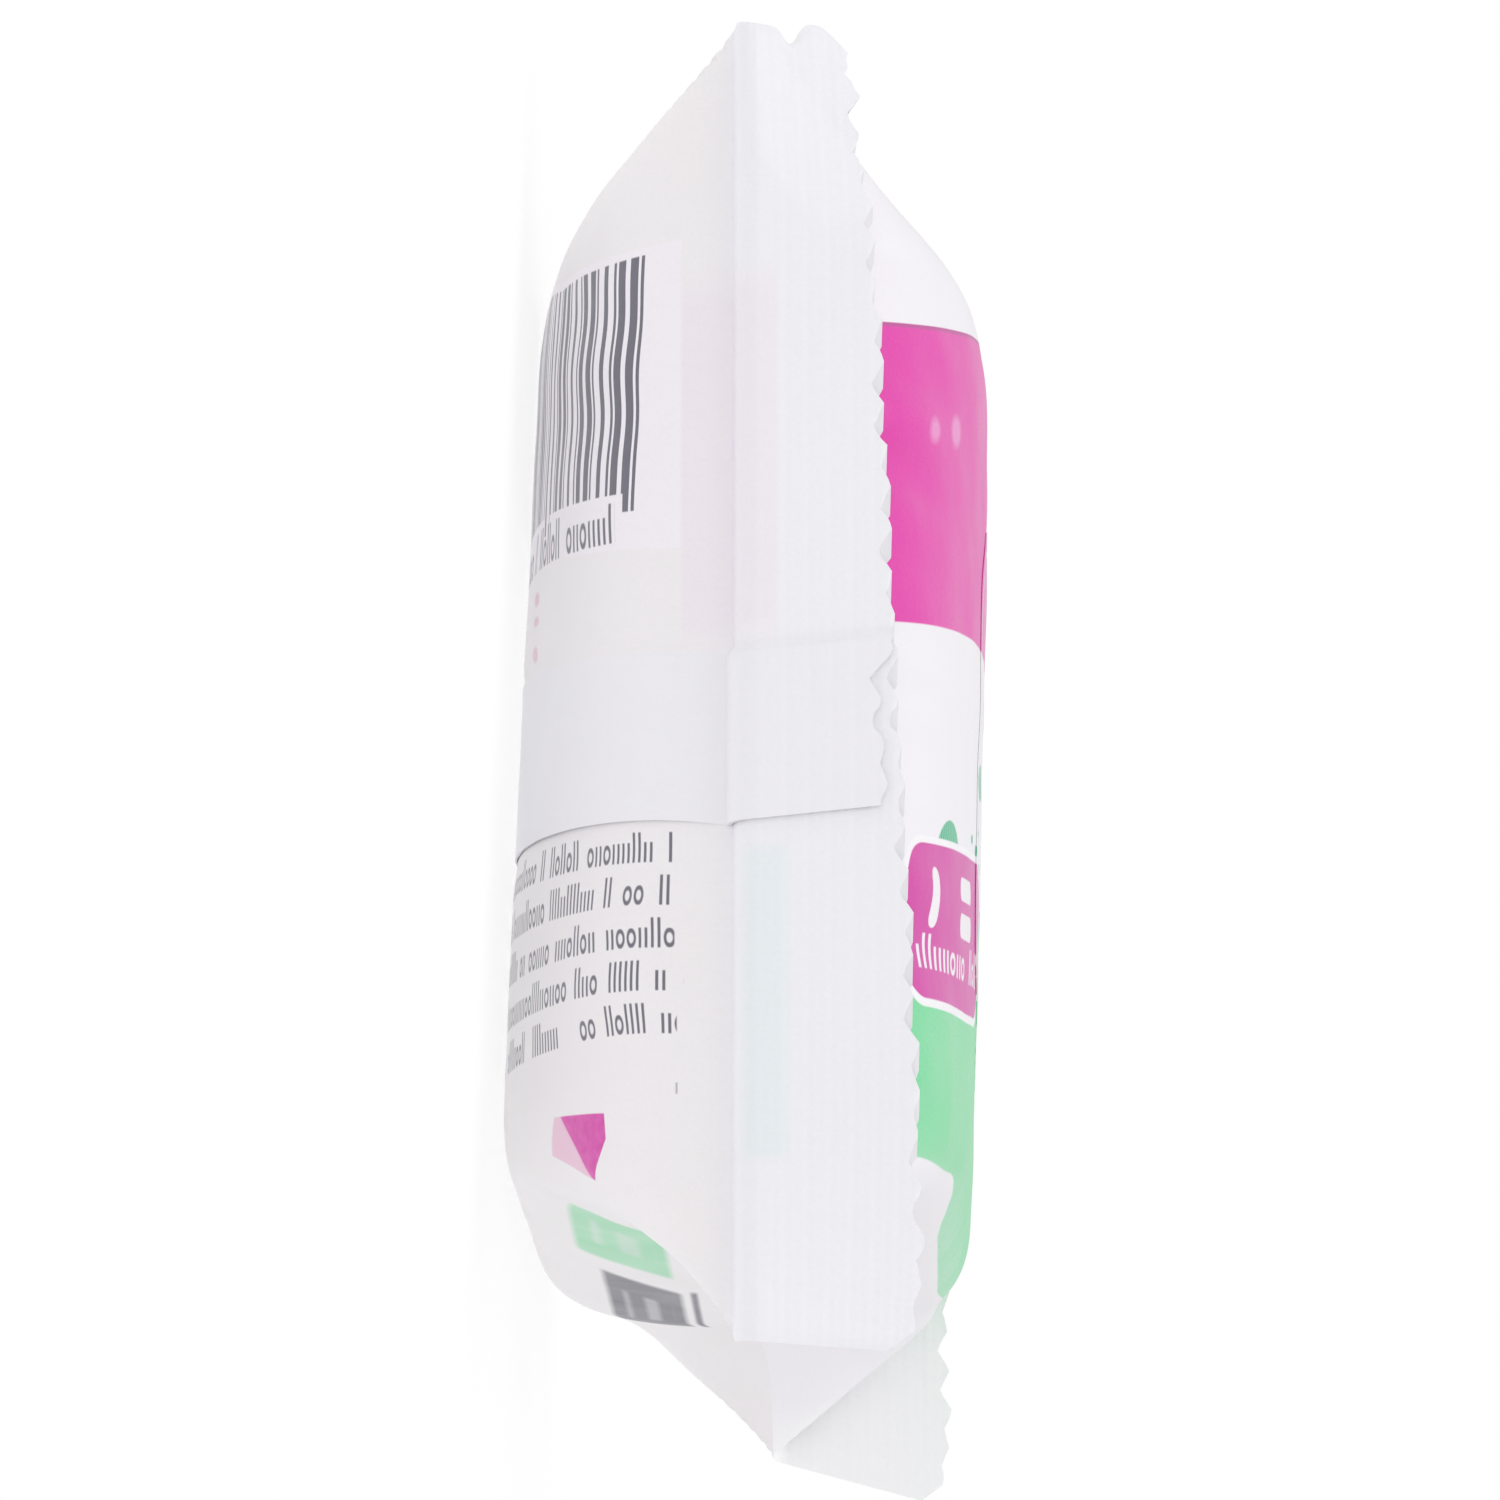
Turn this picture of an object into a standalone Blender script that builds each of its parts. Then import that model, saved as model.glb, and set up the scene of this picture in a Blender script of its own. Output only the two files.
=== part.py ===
"""Flow-wrapped travel pack of wet wipes, lying on its back.

One film tube is closed along the back by a fin seal and across both ends by crimped seals with a
zigzag cut. Both end seals are bent up towards the front. A resealable flap lies on the front.
The pack's width runs along X, its length along Y and its thickness along Z. The near end is at -Y.
The origin is at the middle of the pack's box, on the surface that the pack lies on.
"""

import math

import bmesh
import bpy
import numpy as np
from mathutils import Vector

# Film tube and its seals, in metres
FLAT_WIDTH = 0.097  # half the tube's girth
SEAL_LENGTH = 0.092  # of each end seal, which puckers the film a little
BODY_LENGTH = 0.128  # along the pack, from one end seal to the other
SEAL_WIDTH = 0.0118
SEAL_SKEW = 0.0022  # how much wider the near seal is at its +X end, and narrower at its other end
FAR_SEAL_WIDTH = 0.0150  # the knife doesn't cut quite midway between two packs
SEAL_THICKNESS = 0.0003
TOOTH_PITCH = 0.003
TOOTH_DEPTH = 0.0007
TOOTH_WANDER = 0.0003  # unevenness of the cut edge
CORNER_ROUND = 0.0016  # by which the cut edge falls back at its two ends
RIB_HEIGHT = 0.0001
RIB_ROWS = 6

# Fin seal, folded flat on the back towards +X
FIN_WIDTH = 0.0118
FIN_ROOT = -0.0015  # from the middle of the back
FIN_GAP = 0.0002
FIN_GAP_IN_SEAL = 0.00015
FIN_LIFT = 0.0004  # of its free edge on the near slope
FIN_DRIFT_IN_SEAL = 0.0020  # towards -X, up to its cut edge
FIN_DRIFT_IN_BODY = 0.0018  # towards -X, over the near slope
FIN_SETBACK = 0.0013  # of its cut edge in the near end seal

# Filled body
SEAL_HEIGHT = 0.0163  # of the end seals above the surface that the pack lies on
TOP_RISE = 0.0172  # of the front above the end seals
FLOOR_PRESS = 0.0003  # by which the filling is pressed flat on the surface below it
NEAR_SLOPE = 0.046  # length over which the near end rises to full thickness
FAR_SLOPE = 0.030
SLOPE_POWER_NEAR = 2.4
SLOPE_POWER_FAR = 3.0
SIDE_POWER_NEAR = 16.0  # squareness of the section's corners
SIDE_POWER_FAR = 16.0
SIDE_POWER_FRONT = 14.0
BACK_EDGE_ROOT = 3.2  # crispness of the back's two long edges, where 2 is an ellipse
NEAR_TILT = 0.044  # slope of the near seal's line across the pack
FAR_TILT = 0.055
TILT_REACH = 0.030  # length over which the tilt of an end seal fades into the body
FRONT_TILT = 1.2  # growth of the front's rise across the pack, per metre
FRONT_FULLNESS = 0.7  # power by which the front rises sooner from the end seals than the back
STACK_SHIFT = 0.0008  # of the filling towards +X
STACK_SKEW = 0.0040  # growth of that shift from the near end to the far end

# Gathers that run out of the end seals into the body
GATHER_HEIGHT = 0.00028
GATHER_PITCH = 0.0113
GATHER_REACH = 0.016

# Bends of the two end seals
BEND_RADIUS = 0.0013
NEAR_BEND = math.radians(102)
NEAR_BEND_TWIST = math.radians(4)  # from the middle of the seal to either end
NEAR_CORNER_CURL = math.radians(14)
FAR_BEND = math.radians(88)
FAR_BEND_TWIST = math.radians(3)
FAR_FLARE = 0.003  # spread of the far seal's cut edge at its +X end
BEND_ROWS = 4

# Resealable flap on the front
FLAP_LENGTH = 0.066
FLAP_WIDTH = 0.036
FLAP_CORNER = 0.009
FLAP_THICKNESS = 0.00025
FLAP_GAP = 0.0003
FLAP_CENTRE = 0.066  # from the near end seal
TAB_LENGTH = 0.007
TAB_WIDTH = 0.016
FLAP_ROWS = 22
FLAP_COLUMNS = 10

# Mesh layout
FINE_ROWS = (0.0008, 0.0022, 0.0042, 0.0070, 0.0105, 0.0150)
COARSE_STEP = 0.0085
OUTLINE_POINTS = 600

# Colours
FILM_WHITE = (0.86, 0.85, 0.89, 1.0)
FLAP_WHITE = (0.90, 0.90, 0.92, 1.0)

TEETH = round(SEAL_LENGTH / TOOTH_PITCH)
COLUMNS = 2 * TEETH
COLUMN_STEP = FLAT_WIDTH / COLUMNS
ROOT_COLUMN = 2 * round((FLAT_WIDTH / 2 + FIN_ROOT) / COLUMN_STEP / 2)
EDGE_COLUMN = ROOT_COLUMN + 2 * round(FIN_WIDTH / COLUMN_STEP / 2)


def clear_scene():
    for found in list(bpy.data.objects):
        bpy.data.objects.remove(found)


def smooth(value):
    """0 up to 0, 1 from 1, and an S curve between."""
    t = min(1.0, max(0.0, value))
    return t * t * (3 - 2 * t)


def film_position(column):
    """Distance across the flat film from its middle line, along X."""
    return column * COLUMN_STEP - FLAT_WIDTH / 2


def openness(along):
    """Share of the full thickness that the body has at a distance from the near end seal."""
    near = max(0.0, 1 - along / NEAR_SLOPE)
    far = max(0.0, 1 - (BODY_LENGTH - along) / FAR_SLOPE)
    near_share = math.sqrt(max(0.0, 1 - near**SLOPE_POWER_NEAR))
    far_share = math.sqrt(max(0.0, 1 - far**SLOPE_POWER_FAR))
    return near_share * far_share


def pucker(along):
    """Share of its flat width that the film keeps, from the end seals into the body."""
    seal_share = SEAL_LENGTH / FLAT_WIDTH
    nearest = min(along, BODY_LENGTH - along)
    return seal_share + (1 - seal_share) * smooth(nearest / TILT_REACH)


def middle_height(x, along):
    """Height of the surface that the end seals lie in, above the floor."""
    near = NEAR_TILT * (1 - smooth(along / TILT_REACH))
    far = FAR_TILT * (1 - smooth((BODY_LENGTH - along) / TILT_REACH))
    return SEAL_HEIGHT + (near + far) * x


def section_power(along):
    """Squareness of the section, from the near end to the far end."""
    share = smooth(along / BODY_LENGTH)
    return SIDE_POWER_NEAR + (SIDE_POWER_FAR - SIDE_POWER_NEAR) * share


def raw_outline(half_width, along, front):
    """Dense points of the section's front or back half, from -X to +X."""
    angle = np.linspace(0, math.pi, OUTLINE_POINTS)
    x = -half_width * np.cos(angle)
    share = openness(along)
    squareness = section_power(along)
    if front:
        squareness += (SIDE_POWER_FRONT - squareness) * share
    root = 2.0 if front else BACK_EDGE_ROOT
    bulge = np.clip(1 - np.abs(x / half_width) ** squareness, 0, None) ** (1 / root)
    x = x + share * (STACK_SHIFT + STACK_SKEW * (along / BODY_LENGTH - 0.5))
    middle = middle_height(x, along)
    if front:
        rise = max(SEAL_THICKNESS / 2, TOP_RISE * share**FRONT_FULLNESS)
        return x, middle + rise * bulge * (1 + FRONT_TILT * x * share)
    drop = max(SEAL_THICKNESS / 2, (SEAL_HEIGHT + FLOOR_PRESS) * share)
    return x, np.maximum(middle - drop * bulge, 0.0)


def arc_lengths(x, z):
    return np.concatenate([[0], np.cumsum(np.hypot(np.diff(x), np.diff(z)))])


class Section:
    """The film tube's outline at one distance from the near end seal. Its girth never changes."""

    def __init__(self, along):
        narrow, wide = FLAT_WIDTH / 4, FLAT_WIDTH / 2
        for _ in range(40):
            half_width = (narrow + wide) / 2
            girth = sum(arc_lengths(*raw_outline(half_width, along, f))[-1] for f in (True, False))
            if girth > 2 * FLAT_WIDTH * pucker(along):
                wide = half_width
            else:
                narrow = half_width
        self.halves = {}
        for front in (True, False):
            x, z = raw_outline(half_width, along, front)
            self.halves[front] = (x, z, arc_lengths(x, z))

    def point(self, position, front):
        """The film's point and its outward direction, at a distance from the film's middle line."""
        x, z, length = self.halves[front]
        wanted = (position / FLAT_WIDTH + 0.5) * length[-1]
        step = length[-1] * 0.004
        spots = np.clip([wanted - step, wanted, wanted + step], 0, length[-1])
        xs = np.interp(spots, length, x)
        zs = np.interp(spots, length, z)
        run, climb = xs[2] - xs[0], zs[2] - zs[0]
        size = math.hypot(run, climb)
        outward = (-climb / size, run / size) if front else (climb / size, -run / size)
        return xs[1], zs[1], outward


def gather(position, along, front):
    """Height of the shallow folds that the end seals gather the film into."""
    if along > BODY_LENGTH / 2:
        along = BODY_LENGTH - along
    turns = 2 * math.pi * position / GATHER_PITCH
    phase = 0.6 if front else 2.3
    wave = math.sin(turns + phase) + 0.6 * math.sin(1.7 * turns + 2 * phase)
    rise = smooth(along / (0.35 * GATHER_REACH))
    fall = 1 - smooth((along - 0.35 * GATHER_REACH) / GATHER_REACH)
    edge = smooth((FLAT_WIDTH / 2 - abs(position)) / (2 * GATHER_PITCH))
    return GATHER_HEIGHT * wave * rise * fall * edge


def fin_share(position):
    """0 at the fin's root and 1 at its free edge."""
    root, edge = film_position(ROOT_COLUMN), film_position(EDGE_COLUMN)
    return min(1.0, max(0.0, (position - root) / (edge - root)))


def slide(position, along):
    """Sideways drift of the back panel and the fin. A negative distance is up the near end seal."""
    if along < 0:
        drift = FIN_DRIFT_IN_SEAL * min(1.0, -along / SEAL_WIDTH)
    else:
        drift = FIN_DRIFT_IN_BODY * smooth(along / NEAR_SLOPE)
    return -drift * smooth((FLAT_WIDTH / 2 - abs(position)) / (FLAT_WIDTH / 4))


def fin_seat(along):
    """How far the back panel is pressed in under the fin, from 0 at an end seal to 1."""
    nearest = min(along, BODY_LENGTH - along)
    return smooth(nearest / (12 * (SEAL_THICKNESS + FIN_GAP)))


def fin_lift(position, along):
    """Lift of the fin's free edge, on the near slope only."""
    reach = 0.6 * NEAR_SLOPE
    swell = smooth(along / (0.2 * reach)) * (1 - smooth((along - 0.35 * reach) / (0.65 * reach)))
    return FIN_LIFT * swell * fin_share(position) ** 2


def layers(along):
    """Outward offsets of the back panel under the fin, and of the fin's inner and outer face."""
    seat = fin_seat(along)
    gap = FIN_GAP_IN_SEAL + (FIN_GAP - FIN_GAP_IN_SEAL) * seat
    outer = (1 - seat) * (SEAL_THICKNESS + gap)
    inner = outer - SEAL_THICKNESS
    return inner - gap, inner, outer


def panel_offset(column, along):
    """Outward offset of the back panel: pressed in under the fin, and back out beside it."""
    if ROOT_COLUMN <= column <= EDGE_COLUMN:
        return layers(along)[0]
    if column == EDGE_COLUMN + 1:
        return layers(along)[0] / 2
    return 0.0


def loop_keys(step):
    """The tube's columns in order: front, back panel, fin's inner face, fin's outer face, back panel."""
    keys = [("front", i) for i in range(0, COLUMNS + 1, step)]
    keys += [("panel", i) for i in range(COLUMNS - step, ROOT_COLUMN - 1, -step)]
    keys += [("inner", i) for i in range(ROOT_COLUMN, EDGE_COLUMN + 1, step)]
    keys += [("outer", i) for i in range(EDGE_COLUMN, ROOT_COLUMN - 1, -step)]
    keys += [("panel", i) for i in range(ROOT_COLUMN - step, 0, -step)]
    return keys


def body_point(section, key, along):
    """A point of the tube between the end seals."""
    kind, column = key
    position = film_position(column)
    front = kind == "front"
    moved = position if front else position + slide(position, along)
    x, z, outward = section.point(moved, front)
    offset = gather(position, along, front)
    if kind == "panel":
        offset += panel_offset(column, along)
    if kind in ("inner", "outer"):
        offset += layers(along)[1 if kind == "inner" else 2] + fin_lift(position, along)
    z += outward[1] * offset
    return x + outward[0] * offset, along, z if front else max(z, 0.0)


def seal_offset(key):
    """Offset of a seal's layer from the seal's middle surface, positive towards the front."""
    kind, column = key
    half = SEAL_THICKNESS / 2
    if column in (0, COLUMNS):
        return 0.0
    if kind == "front":
        return half
    if kind == "panel":
        return -half
    _, inner, outer = layers(0)
    return -half - (inner if kind == "inner" else outer)


def bend_angle(x, near):
    share = 2 * x / SEAL_LENGTH
    if near:
        curl = NEAR_CORNER_CURL * max(0.0, (abs(share) - 0.6) / 0.4) ** 1.5
        return NEAR_BEND - NEAR_BEND_TWIST * share + curl
    return FAR_BEND + FAR_BEND_TWIST * share


def wander(column):
    """An uneven value between -1 and 1 for each column of a cut edge."""
    return 0.6 * math.sin(0.9 * column) + 0.4 * math.sin(2.3 * column + 1)


def seal_point(key, row, rows, near):
    """A point of an end seal, row 0 being its line along the body and the last row its cut edge."""
    kind, column = key
    x = film_position(column) * SEAL_LENGTH / FLAT_WIDTH
    angle = bend_angle(x, near)
    arc = BEND_RADIUS * angle
    width = SEAL_WIDTH if near else FAR_SEAL_WIDTH
    if near:
        width += SEAL_SKEW * 2 * x / SEAL_LENGTH
    width -= CORNER_ROUND * max(0.0, (2 * abs(x) / SEAL_LENGTH - 0.93) / 0.07) ** 2
    rib_step = (width - arc) / (rows - BEND_ROWS)
    if near and kind in ("inner", "outer"):
        width -= FIN_SETBACK * min(1.0, (column - ROOT_COLUMN) / 2)
    if row == rows:
        width += TOOTH_DEPTH / 2 * (1 if column % 2 else -1) + TOOTH_WANDER * wander(column)
    rib = 0.0
    if row <= BEND_ROWS:
        distance = arc * row / BEND_ROWS
    else:
        distance = arc + (width - arc) * (row - BEND_ROWS) / (rows - BEND_ROWS)
        crest = abs((distance - arc) / rib_step % 2 - 1)
        rib = RIB_HEIGHT * (1 - 2 * crest)
    if near and kind != "front":
        x += slide(film_position(column), -distance)
    turned = min(distance / BEND_RADIUS, angle)
    straight = max(0.0, distance - arc)
    out = BEND_RADIUS * math.sin(turned) + straight * math.cos(turned)
    up = BEND_RADIUS * (1 - math.cos(turned)) + straight * math.sin(turned)
    offset = seal_offset(key) + rib
    out -= offset * math.sin(turned)
    up += offset * math.cos(turned)
    base = 0.0 if near else BODY_LENGTH
    place = middle_height(x, base) + up
    if not near:
        x += FAR_FLARE * distance / width * smooth(2 * x / SEAL_LENGTH)
    return x, base - out if near else base + out, place


def add_row(bm, keys, place):
    return {key: bm.verts.new(place(key)) for key in keys}


def bridge(bm, first, first_keys, second, second_keys):
    """Faces between two rows. One row may have every second column of the other."""
    if len(first_keys) < len(second_keys):
        first, first_keys, second, second_keys = second, second_keys, first, first_keys
    count = len(first_keys)
    for k, key in enumerate(second_keys):
        following = second_keys[(k + 1) % len(second_keys)]
        start = first_keys.index(key)
        stop = first_keys.index(following)
        run = (stop - start) % count
        fine = [first[first_keys[(start + j) % count]] for j in range(run + 1)]
        bm.faces.new([second[following], second[key], *fine])


def close_end(bm, row):
    """The cut edge of an end seal: strips between the layers, and one face at the fin's root."""

    def back(column):
        return row[("front" if column in (0, COLUMNS) else "panel", column)]

    for i in range(COLUMNS):
        ring = [row[("front", i)], row[("front", i + 1)]]
        if i == ROOT_COLUMN - 1:
            ring += [back(i + 1), row[("inner", i + 1)], row[("outer", i + 1)], back(i)]
        else:
            ring += [v for v in (back(i + 1), back(i)) if v not in ring]
        bm.faces.new(ring)
    for i in range(ROOT_COLUMN, EDGE_COLUMN):
        bm.faces.new([row[("inner", i)], row[("inner", i + 1)], row[("outer", i + 1)], row[("outer", i)]])


def body_rows():
    """Distances from the near end seal, with every column near the seals and every second between."""
    first, last = FINE_ROWS[-1], BODY_LENGTH - FINE_ROWS[-1]
    count = max(2, round((last - first) / COARSE_STEP))
    coarse = [first + (last - first) * k / count for k in range(1, count)]
    rows = [(v, 1) for v in FINE_ROWS]
    rows += [(v, 2) for v in coarse]
    rows += [(BODY_LENGTH - v, 1) for v in reversed(FINE_ROWS)]
    return rows


def wrapper_mesh():
    bm = bmesh.new()
    fine = loop_keys(1)
    coarse = loop_keys(2)
    seal_rows = BEND_ROWS + RIB_ROWS
    rows = []
    for row in range(seal_rows, -1, -1):
        rows.append((add_row(bm, fine, lambda key: seal_point(key, row, seal_rows, True)), fine))
    for along, step in body_rows():
        section = Section(along)
        keys = fine if step == 1 else coarse
        rows.append((add_row(bm, keys, lambda key: body_point(section, key, along)), keys))
    for row in range(seal_rows + 1):
        rows.append((add_row(bm, fine, lambda key: seal_point(key, row, seal_rows, False)), fine))
    for (first, first_keys), (second, second_keys) in zip(rows, rows[1:]):
        bridge(bm, first, first_keys, second, second_keys)
    close_end(bm, rows[0][0])
    close_end(bm, rows[-1][0])
    return bm


def flap_half_width(distance):
    """Half the flap's width at a distance from its near edge, with a pull tab at its far edge."""
    half = FLAP_WIDTH / 2
    inset = min(distance, FLAP_LENGTH - distance)
    if inset < FLAP_CORNER:
        half -= FLAP_CORNER - math.sqrt(FLAP_CORNER**2 - (FLAP_CORNER - max(inset, 0.0)) ** 2)
    if distance <= FLAP_LENGTH - FLAP_CORNER:
        return half
    beyond = max(0.0, distance - (FLAP_LENGTH + TAB_LENGTH - TAB_WIDTH / 2))
    tab = math.sqrt(max(0.0, (TAB_WIDTH / 2) ** 2 - beyond**2))
    return max(tab, half if distance < FLAP_LENGTH else 0.0)


def flap_rows():
    """Distances from the flap's near edge, closer together where its outline turns."""
    total = FLAP_LENGTH + TAB_LENGTH
    turns = [0.02, 0.1, 0.3, 0.6, 1.0]
    near = [FLAP_CORNER * t for t in turns]
    far = [FLAP_LENGTH - FLAP_CORNER * t for t in reversed(turns)]
    tab = [FLAP_LENGTH + (TAB_LENGTH - TAB_WIDTH / 2) * 0.5 if TAB_LENGTH > TAB_WIDTH / 2 else FLAP_LENGTH]
    tab += [total - TAB_WIDTH / 2 * t for t in (0.7, 0.45, 0.25, 0.1, 0.02)]
    count = FLAP_ROWS - len(near) - len(far) - len(tab)
    first, last = near[-1], far[0]
    middle = [first + (last - first) * (k + 1) / (count + 1) for k in range(max(1, count))]
    return sorted(set(near + middle + far + tab))


def flap_mesh():
    """A thin sheet that follows the front of the body."""
    bm = bmesh.new()
    start = FLAP_CENTRE - FLAP_LENGTH / 2
    sheets = []
    for lift in (FLAP_GAP, FLAP_GAP + FLAP_THICKNESS):
        sheet = []
        for distance in flap_rows():
            section = Section(start + distance)
            half = flap_half_width(distance)
            row = []
            for k in range(FLAP_COLUMNS + 1):
                position = half * (2 * k / FLAP_COLUMNS - 1)
                x, z, outward = section.point(position, True)
                place = (x + outward[0] * lift, start + distance, z + outward[1] * lift)
                row.append(bm.verts.new(place))
            sheet.append(row)
        sheets.append(sheet)
    lower, upper = sheets
    last = len(lower) - 1
    for sheet in sheets:
        for a, b in zip(sheet, sheet[1:]):
            for k in range(FLAP_COLUMNS):
                bm.faces.new([a[k], a[k + 1], b[k + 1], b[k]])
    for k in range(FLAP_COLUMNS):
        bm.faces.new([lower[0][k], lower[0][k + 1], upper[0][k + 1], upper[0][k]])
        bm.faces.new([lower[last][k], lower[last][k + 1], upper[last][k + 1], upper[last][k]])
    for j in range(last):
        for k in (0, FLAP_COLUMNS):
            bm.faces.new([lower[j][k], lower[j + 1][k], upper[j + 1][k], upper[j][k]])
    return bm


def plastic(name, colour, roughness):
    material = bpy.data.materials.new(name)
    material.use_nodes = True
    shader = material.node_tree.nodes["Principled BSDF"]
    shader.inputs["Base Color"].default_value = colour
    shader.inputs["Roughness"].default_value = roughness
    shader.inputs["Metallic"].default_value = 0.0
    return material


def middle_of(bm):
    """Middle of a mesh's box, on the surface that the pack lies on."""
    low = [min(vertex.co[k] for vertex in bm.verts) for k in (0, 1)]
    high = [max(vertex.co[k] for vertex in bm.verts) for k in (0, 1)]
    return Vector(((low[0] + high[0]) / 2, (low[1] + high[1]) / 2, 0.0))


def add_object(name, bm, middle, material):
    """Makes one closed, smooth-shaded object, moved so that the origin is where the frame says."""
    bmesh.ops.translate(bm, vec=-middle, verts=bm.verts)
    bmesh.ops.recalc_face_normals(bm, faces=bm.faces)
    mesh = bpy.data.meshes.new(name)
    bm.to_mesh(mesh)
    bm.free()
    mesh.shade_smooth()
    mesh.set_sharp_from_angle(angle=math.radians(50))
    mesh.materials.append(material)
    made = bpy.data.objects.new(name, mesh)
    bpy.context.scene.collection.objects.link(made)
    return made


def main():
    clear_scene()
    wrapper = wrapper_mesh()
    middle = middle_of(wrapper)
    add_object("wipes_pack", wrapper, middle, plastic("printed_film", FILM_WHITE, 0.38))
    add_object("reseal_flap", flap_mesh(), middle, plastic("flap_film", FLAP_WHITE, 0.3))


main()
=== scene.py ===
"""Looks of the wet wipes pack: fine film with its print, a resealable flap, floor, light and camera."""
import math

import bmesh
import bpy
import numpy as np
from mathutils import Matrix, Vector


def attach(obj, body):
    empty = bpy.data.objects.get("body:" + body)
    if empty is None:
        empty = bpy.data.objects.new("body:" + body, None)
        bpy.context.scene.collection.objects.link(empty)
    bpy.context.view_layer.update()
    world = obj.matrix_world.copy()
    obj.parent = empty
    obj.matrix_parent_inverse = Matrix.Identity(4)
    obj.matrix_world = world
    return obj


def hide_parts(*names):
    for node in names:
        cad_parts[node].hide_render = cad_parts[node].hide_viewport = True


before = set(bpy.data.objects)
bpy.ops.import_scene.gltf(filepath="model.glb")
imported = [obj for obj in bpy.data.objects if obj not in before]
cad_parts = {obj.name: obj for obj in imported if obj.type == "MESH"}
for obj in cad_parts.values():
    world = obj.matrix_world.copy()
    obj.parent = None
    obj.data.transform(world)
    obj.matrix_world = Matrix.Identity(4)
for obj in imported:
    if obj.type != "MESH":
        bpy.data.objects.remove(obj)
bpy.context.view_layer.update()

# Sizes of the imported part, in metres
FLAT_WIDTH, SEAL_LENGTH, BODY_LENGTH = 0.097, 0.092, 0.128
SEAL_WIDTH, SEAL_SKEW, FAR_SEAL_WIDTH, SEAL_THICKNESS = 0.0118, 0.0022, 0.0150, 0.0003
TOOTH_PITCH, TOOTH_DEPTH, TOOTH_WANDER, CORNER_ROUND = 0.003, 0.0007, 0.0003, 0.0016
FIN_WIDTH, FIN_ROOT, FIN_GAP, FIN_GAP_IN_SEAL = 0.0118, -0.0015, 0.00008, 0.00015
FIN_SHEET = 0.00014  # the fin lies thinner and closer here than in the solid part
FIN_LIFT, FIN_DRIFT_IN_SEAL, FIN_DRIFT_IN_BODY, FIN_SETBACK = 0.00012, 0.0020, 0.0018, 0.0013
SEAL_HEIGHT, TOP_RISE, FLOOR_PRESS = 0.0163, 0.0172, 0.0003
NEAR_SLOPE, FAR_SLOPE, SLOPE_POWER_NEAR, SLOPE_POWER_FAR = 0.046, 0.030, 2.4, 3.0
SIDE_POWER, SIDE_POWER_FRONT, BACK_EDGE_ROOT = 16.0, 14.0, 3.2
NEAR_TILT, FAR_TILT, TILT_REACH, FRONT_TILT, FRONT_FULLNESS = 0.044, 0.055, 0.030, 1.2, 0.7
STACK_SHIFT, STACK_SKEW = 0.0008, 0.0040
BEND_RADIUS, NEAR_BEND, NEAR_TWIST, NEAR_CURL = 0.0013, math.radians(102), math.radians(4), math.radians(14)
FAR_BEND, FAR_TWIST, FAR_FLARE = math.radians(88), math.radians(3), 0.003
MIDDLE = (0.0015, 0.064376)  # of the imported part's box, from the middle of the near seal's line
MIDDLE_POINT = np.array([*MIDDLE, 0.0])

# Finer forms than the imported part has, in metres
GATHER_PITCH, GATHER_RISE, GATHER_REACH, GATHER_MARGIN = 0.0113, 0.0056, 0.016, 0.0226
GATHER_NEAR_FRONT, GATHER_NEAR_BACK, GATHER_FAR = 0.00030, 0.00010, 0.00042  # heights
RIB_HEIGHT, RIB_PITCH, RIB_START = 0.000012, 0.0016, 0.001
TORN = 0.00011  # raggedness of the near seal's cut edge
FOLD_X, FOLD_START, FOLD_SLOPE, FOLD_MOST = -0.0375, 0.002, 0.16, 0.006
NOTCH_AT, NOTCH_HALF, NOTCH_DEPTH, LOBE = 0.0053, 0.0007, 0.0011, 0.0005

# Mesh layout of the fine film
OUTLINE_POINTS, HALVINGS = 900, 34
PER_TOOTH = 6
TEETH = round(SEAL_LENGTH / TOOTH_PITCH)
CAD_STEP = FLAT_WIDTH / TEETH / 2
COLUMNS = PER_TOOTH * TEETH
STEP = FLAT_WIDTH / COLUMNS
RATIO = PER_TOOTH // 2
ROOT = RATIO * 2 * round((FLAT_WIDTH / 2 + FIN_ROOT) / CAD_STEP / 2)
EDGE = ROOT + RATIO * 2 * round(FIN_WIDTH / CAD_STEP / 2)
BEND_ROWS, RIB_ROWS, ROW_STEP = 7, 30, 0.00115
BAKE_COLUMNS, BAKE_WIDTH = [0.0, 1.02, 1.60, 1.90], 2.6


def smooth(value):
    t = np.clip(value, 0.0, 1.0)
    return t * t * (3 - 2 * t)


def openness(along):
    """How far the tube is open, from 0 at an end seal to 1 in the middle."""
    near = np.clip(1 - along / NEAR_SLOPE, 0, None)
    far = np.clip(1 - (BODY_LENGTH - along) / FAR_SLOPE, 0, None)
    return np.sqrt(np.clip(1 - near**SLOPE_POWER_NEAR, 0, None)) * np.sqrt(
        np.clip(1 - far**SLOPE_POWER_FAR, 0, None))


def pucker(along):
    """The share of its girth that the film keeps, which the end seals pucker."""
    share = SEAL_LENGTH / FLAT_WIDTH
    return share + (1 - share) * smooth(min(along, BODY_LENGTH - along) / TILT_REACH)


def middle_height(x, along):
    """Height of the plane between front and back, which the end seals tilt."""
    near = NEAR_TILT * (1 - smooth(along / TILT_REACH))
    far = FAR_TILT * (1 - smooth((BODY_LENGTH - along) / TILT_REACH))
    return SEAL_HEIGHT + (near + far) * x


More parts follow.
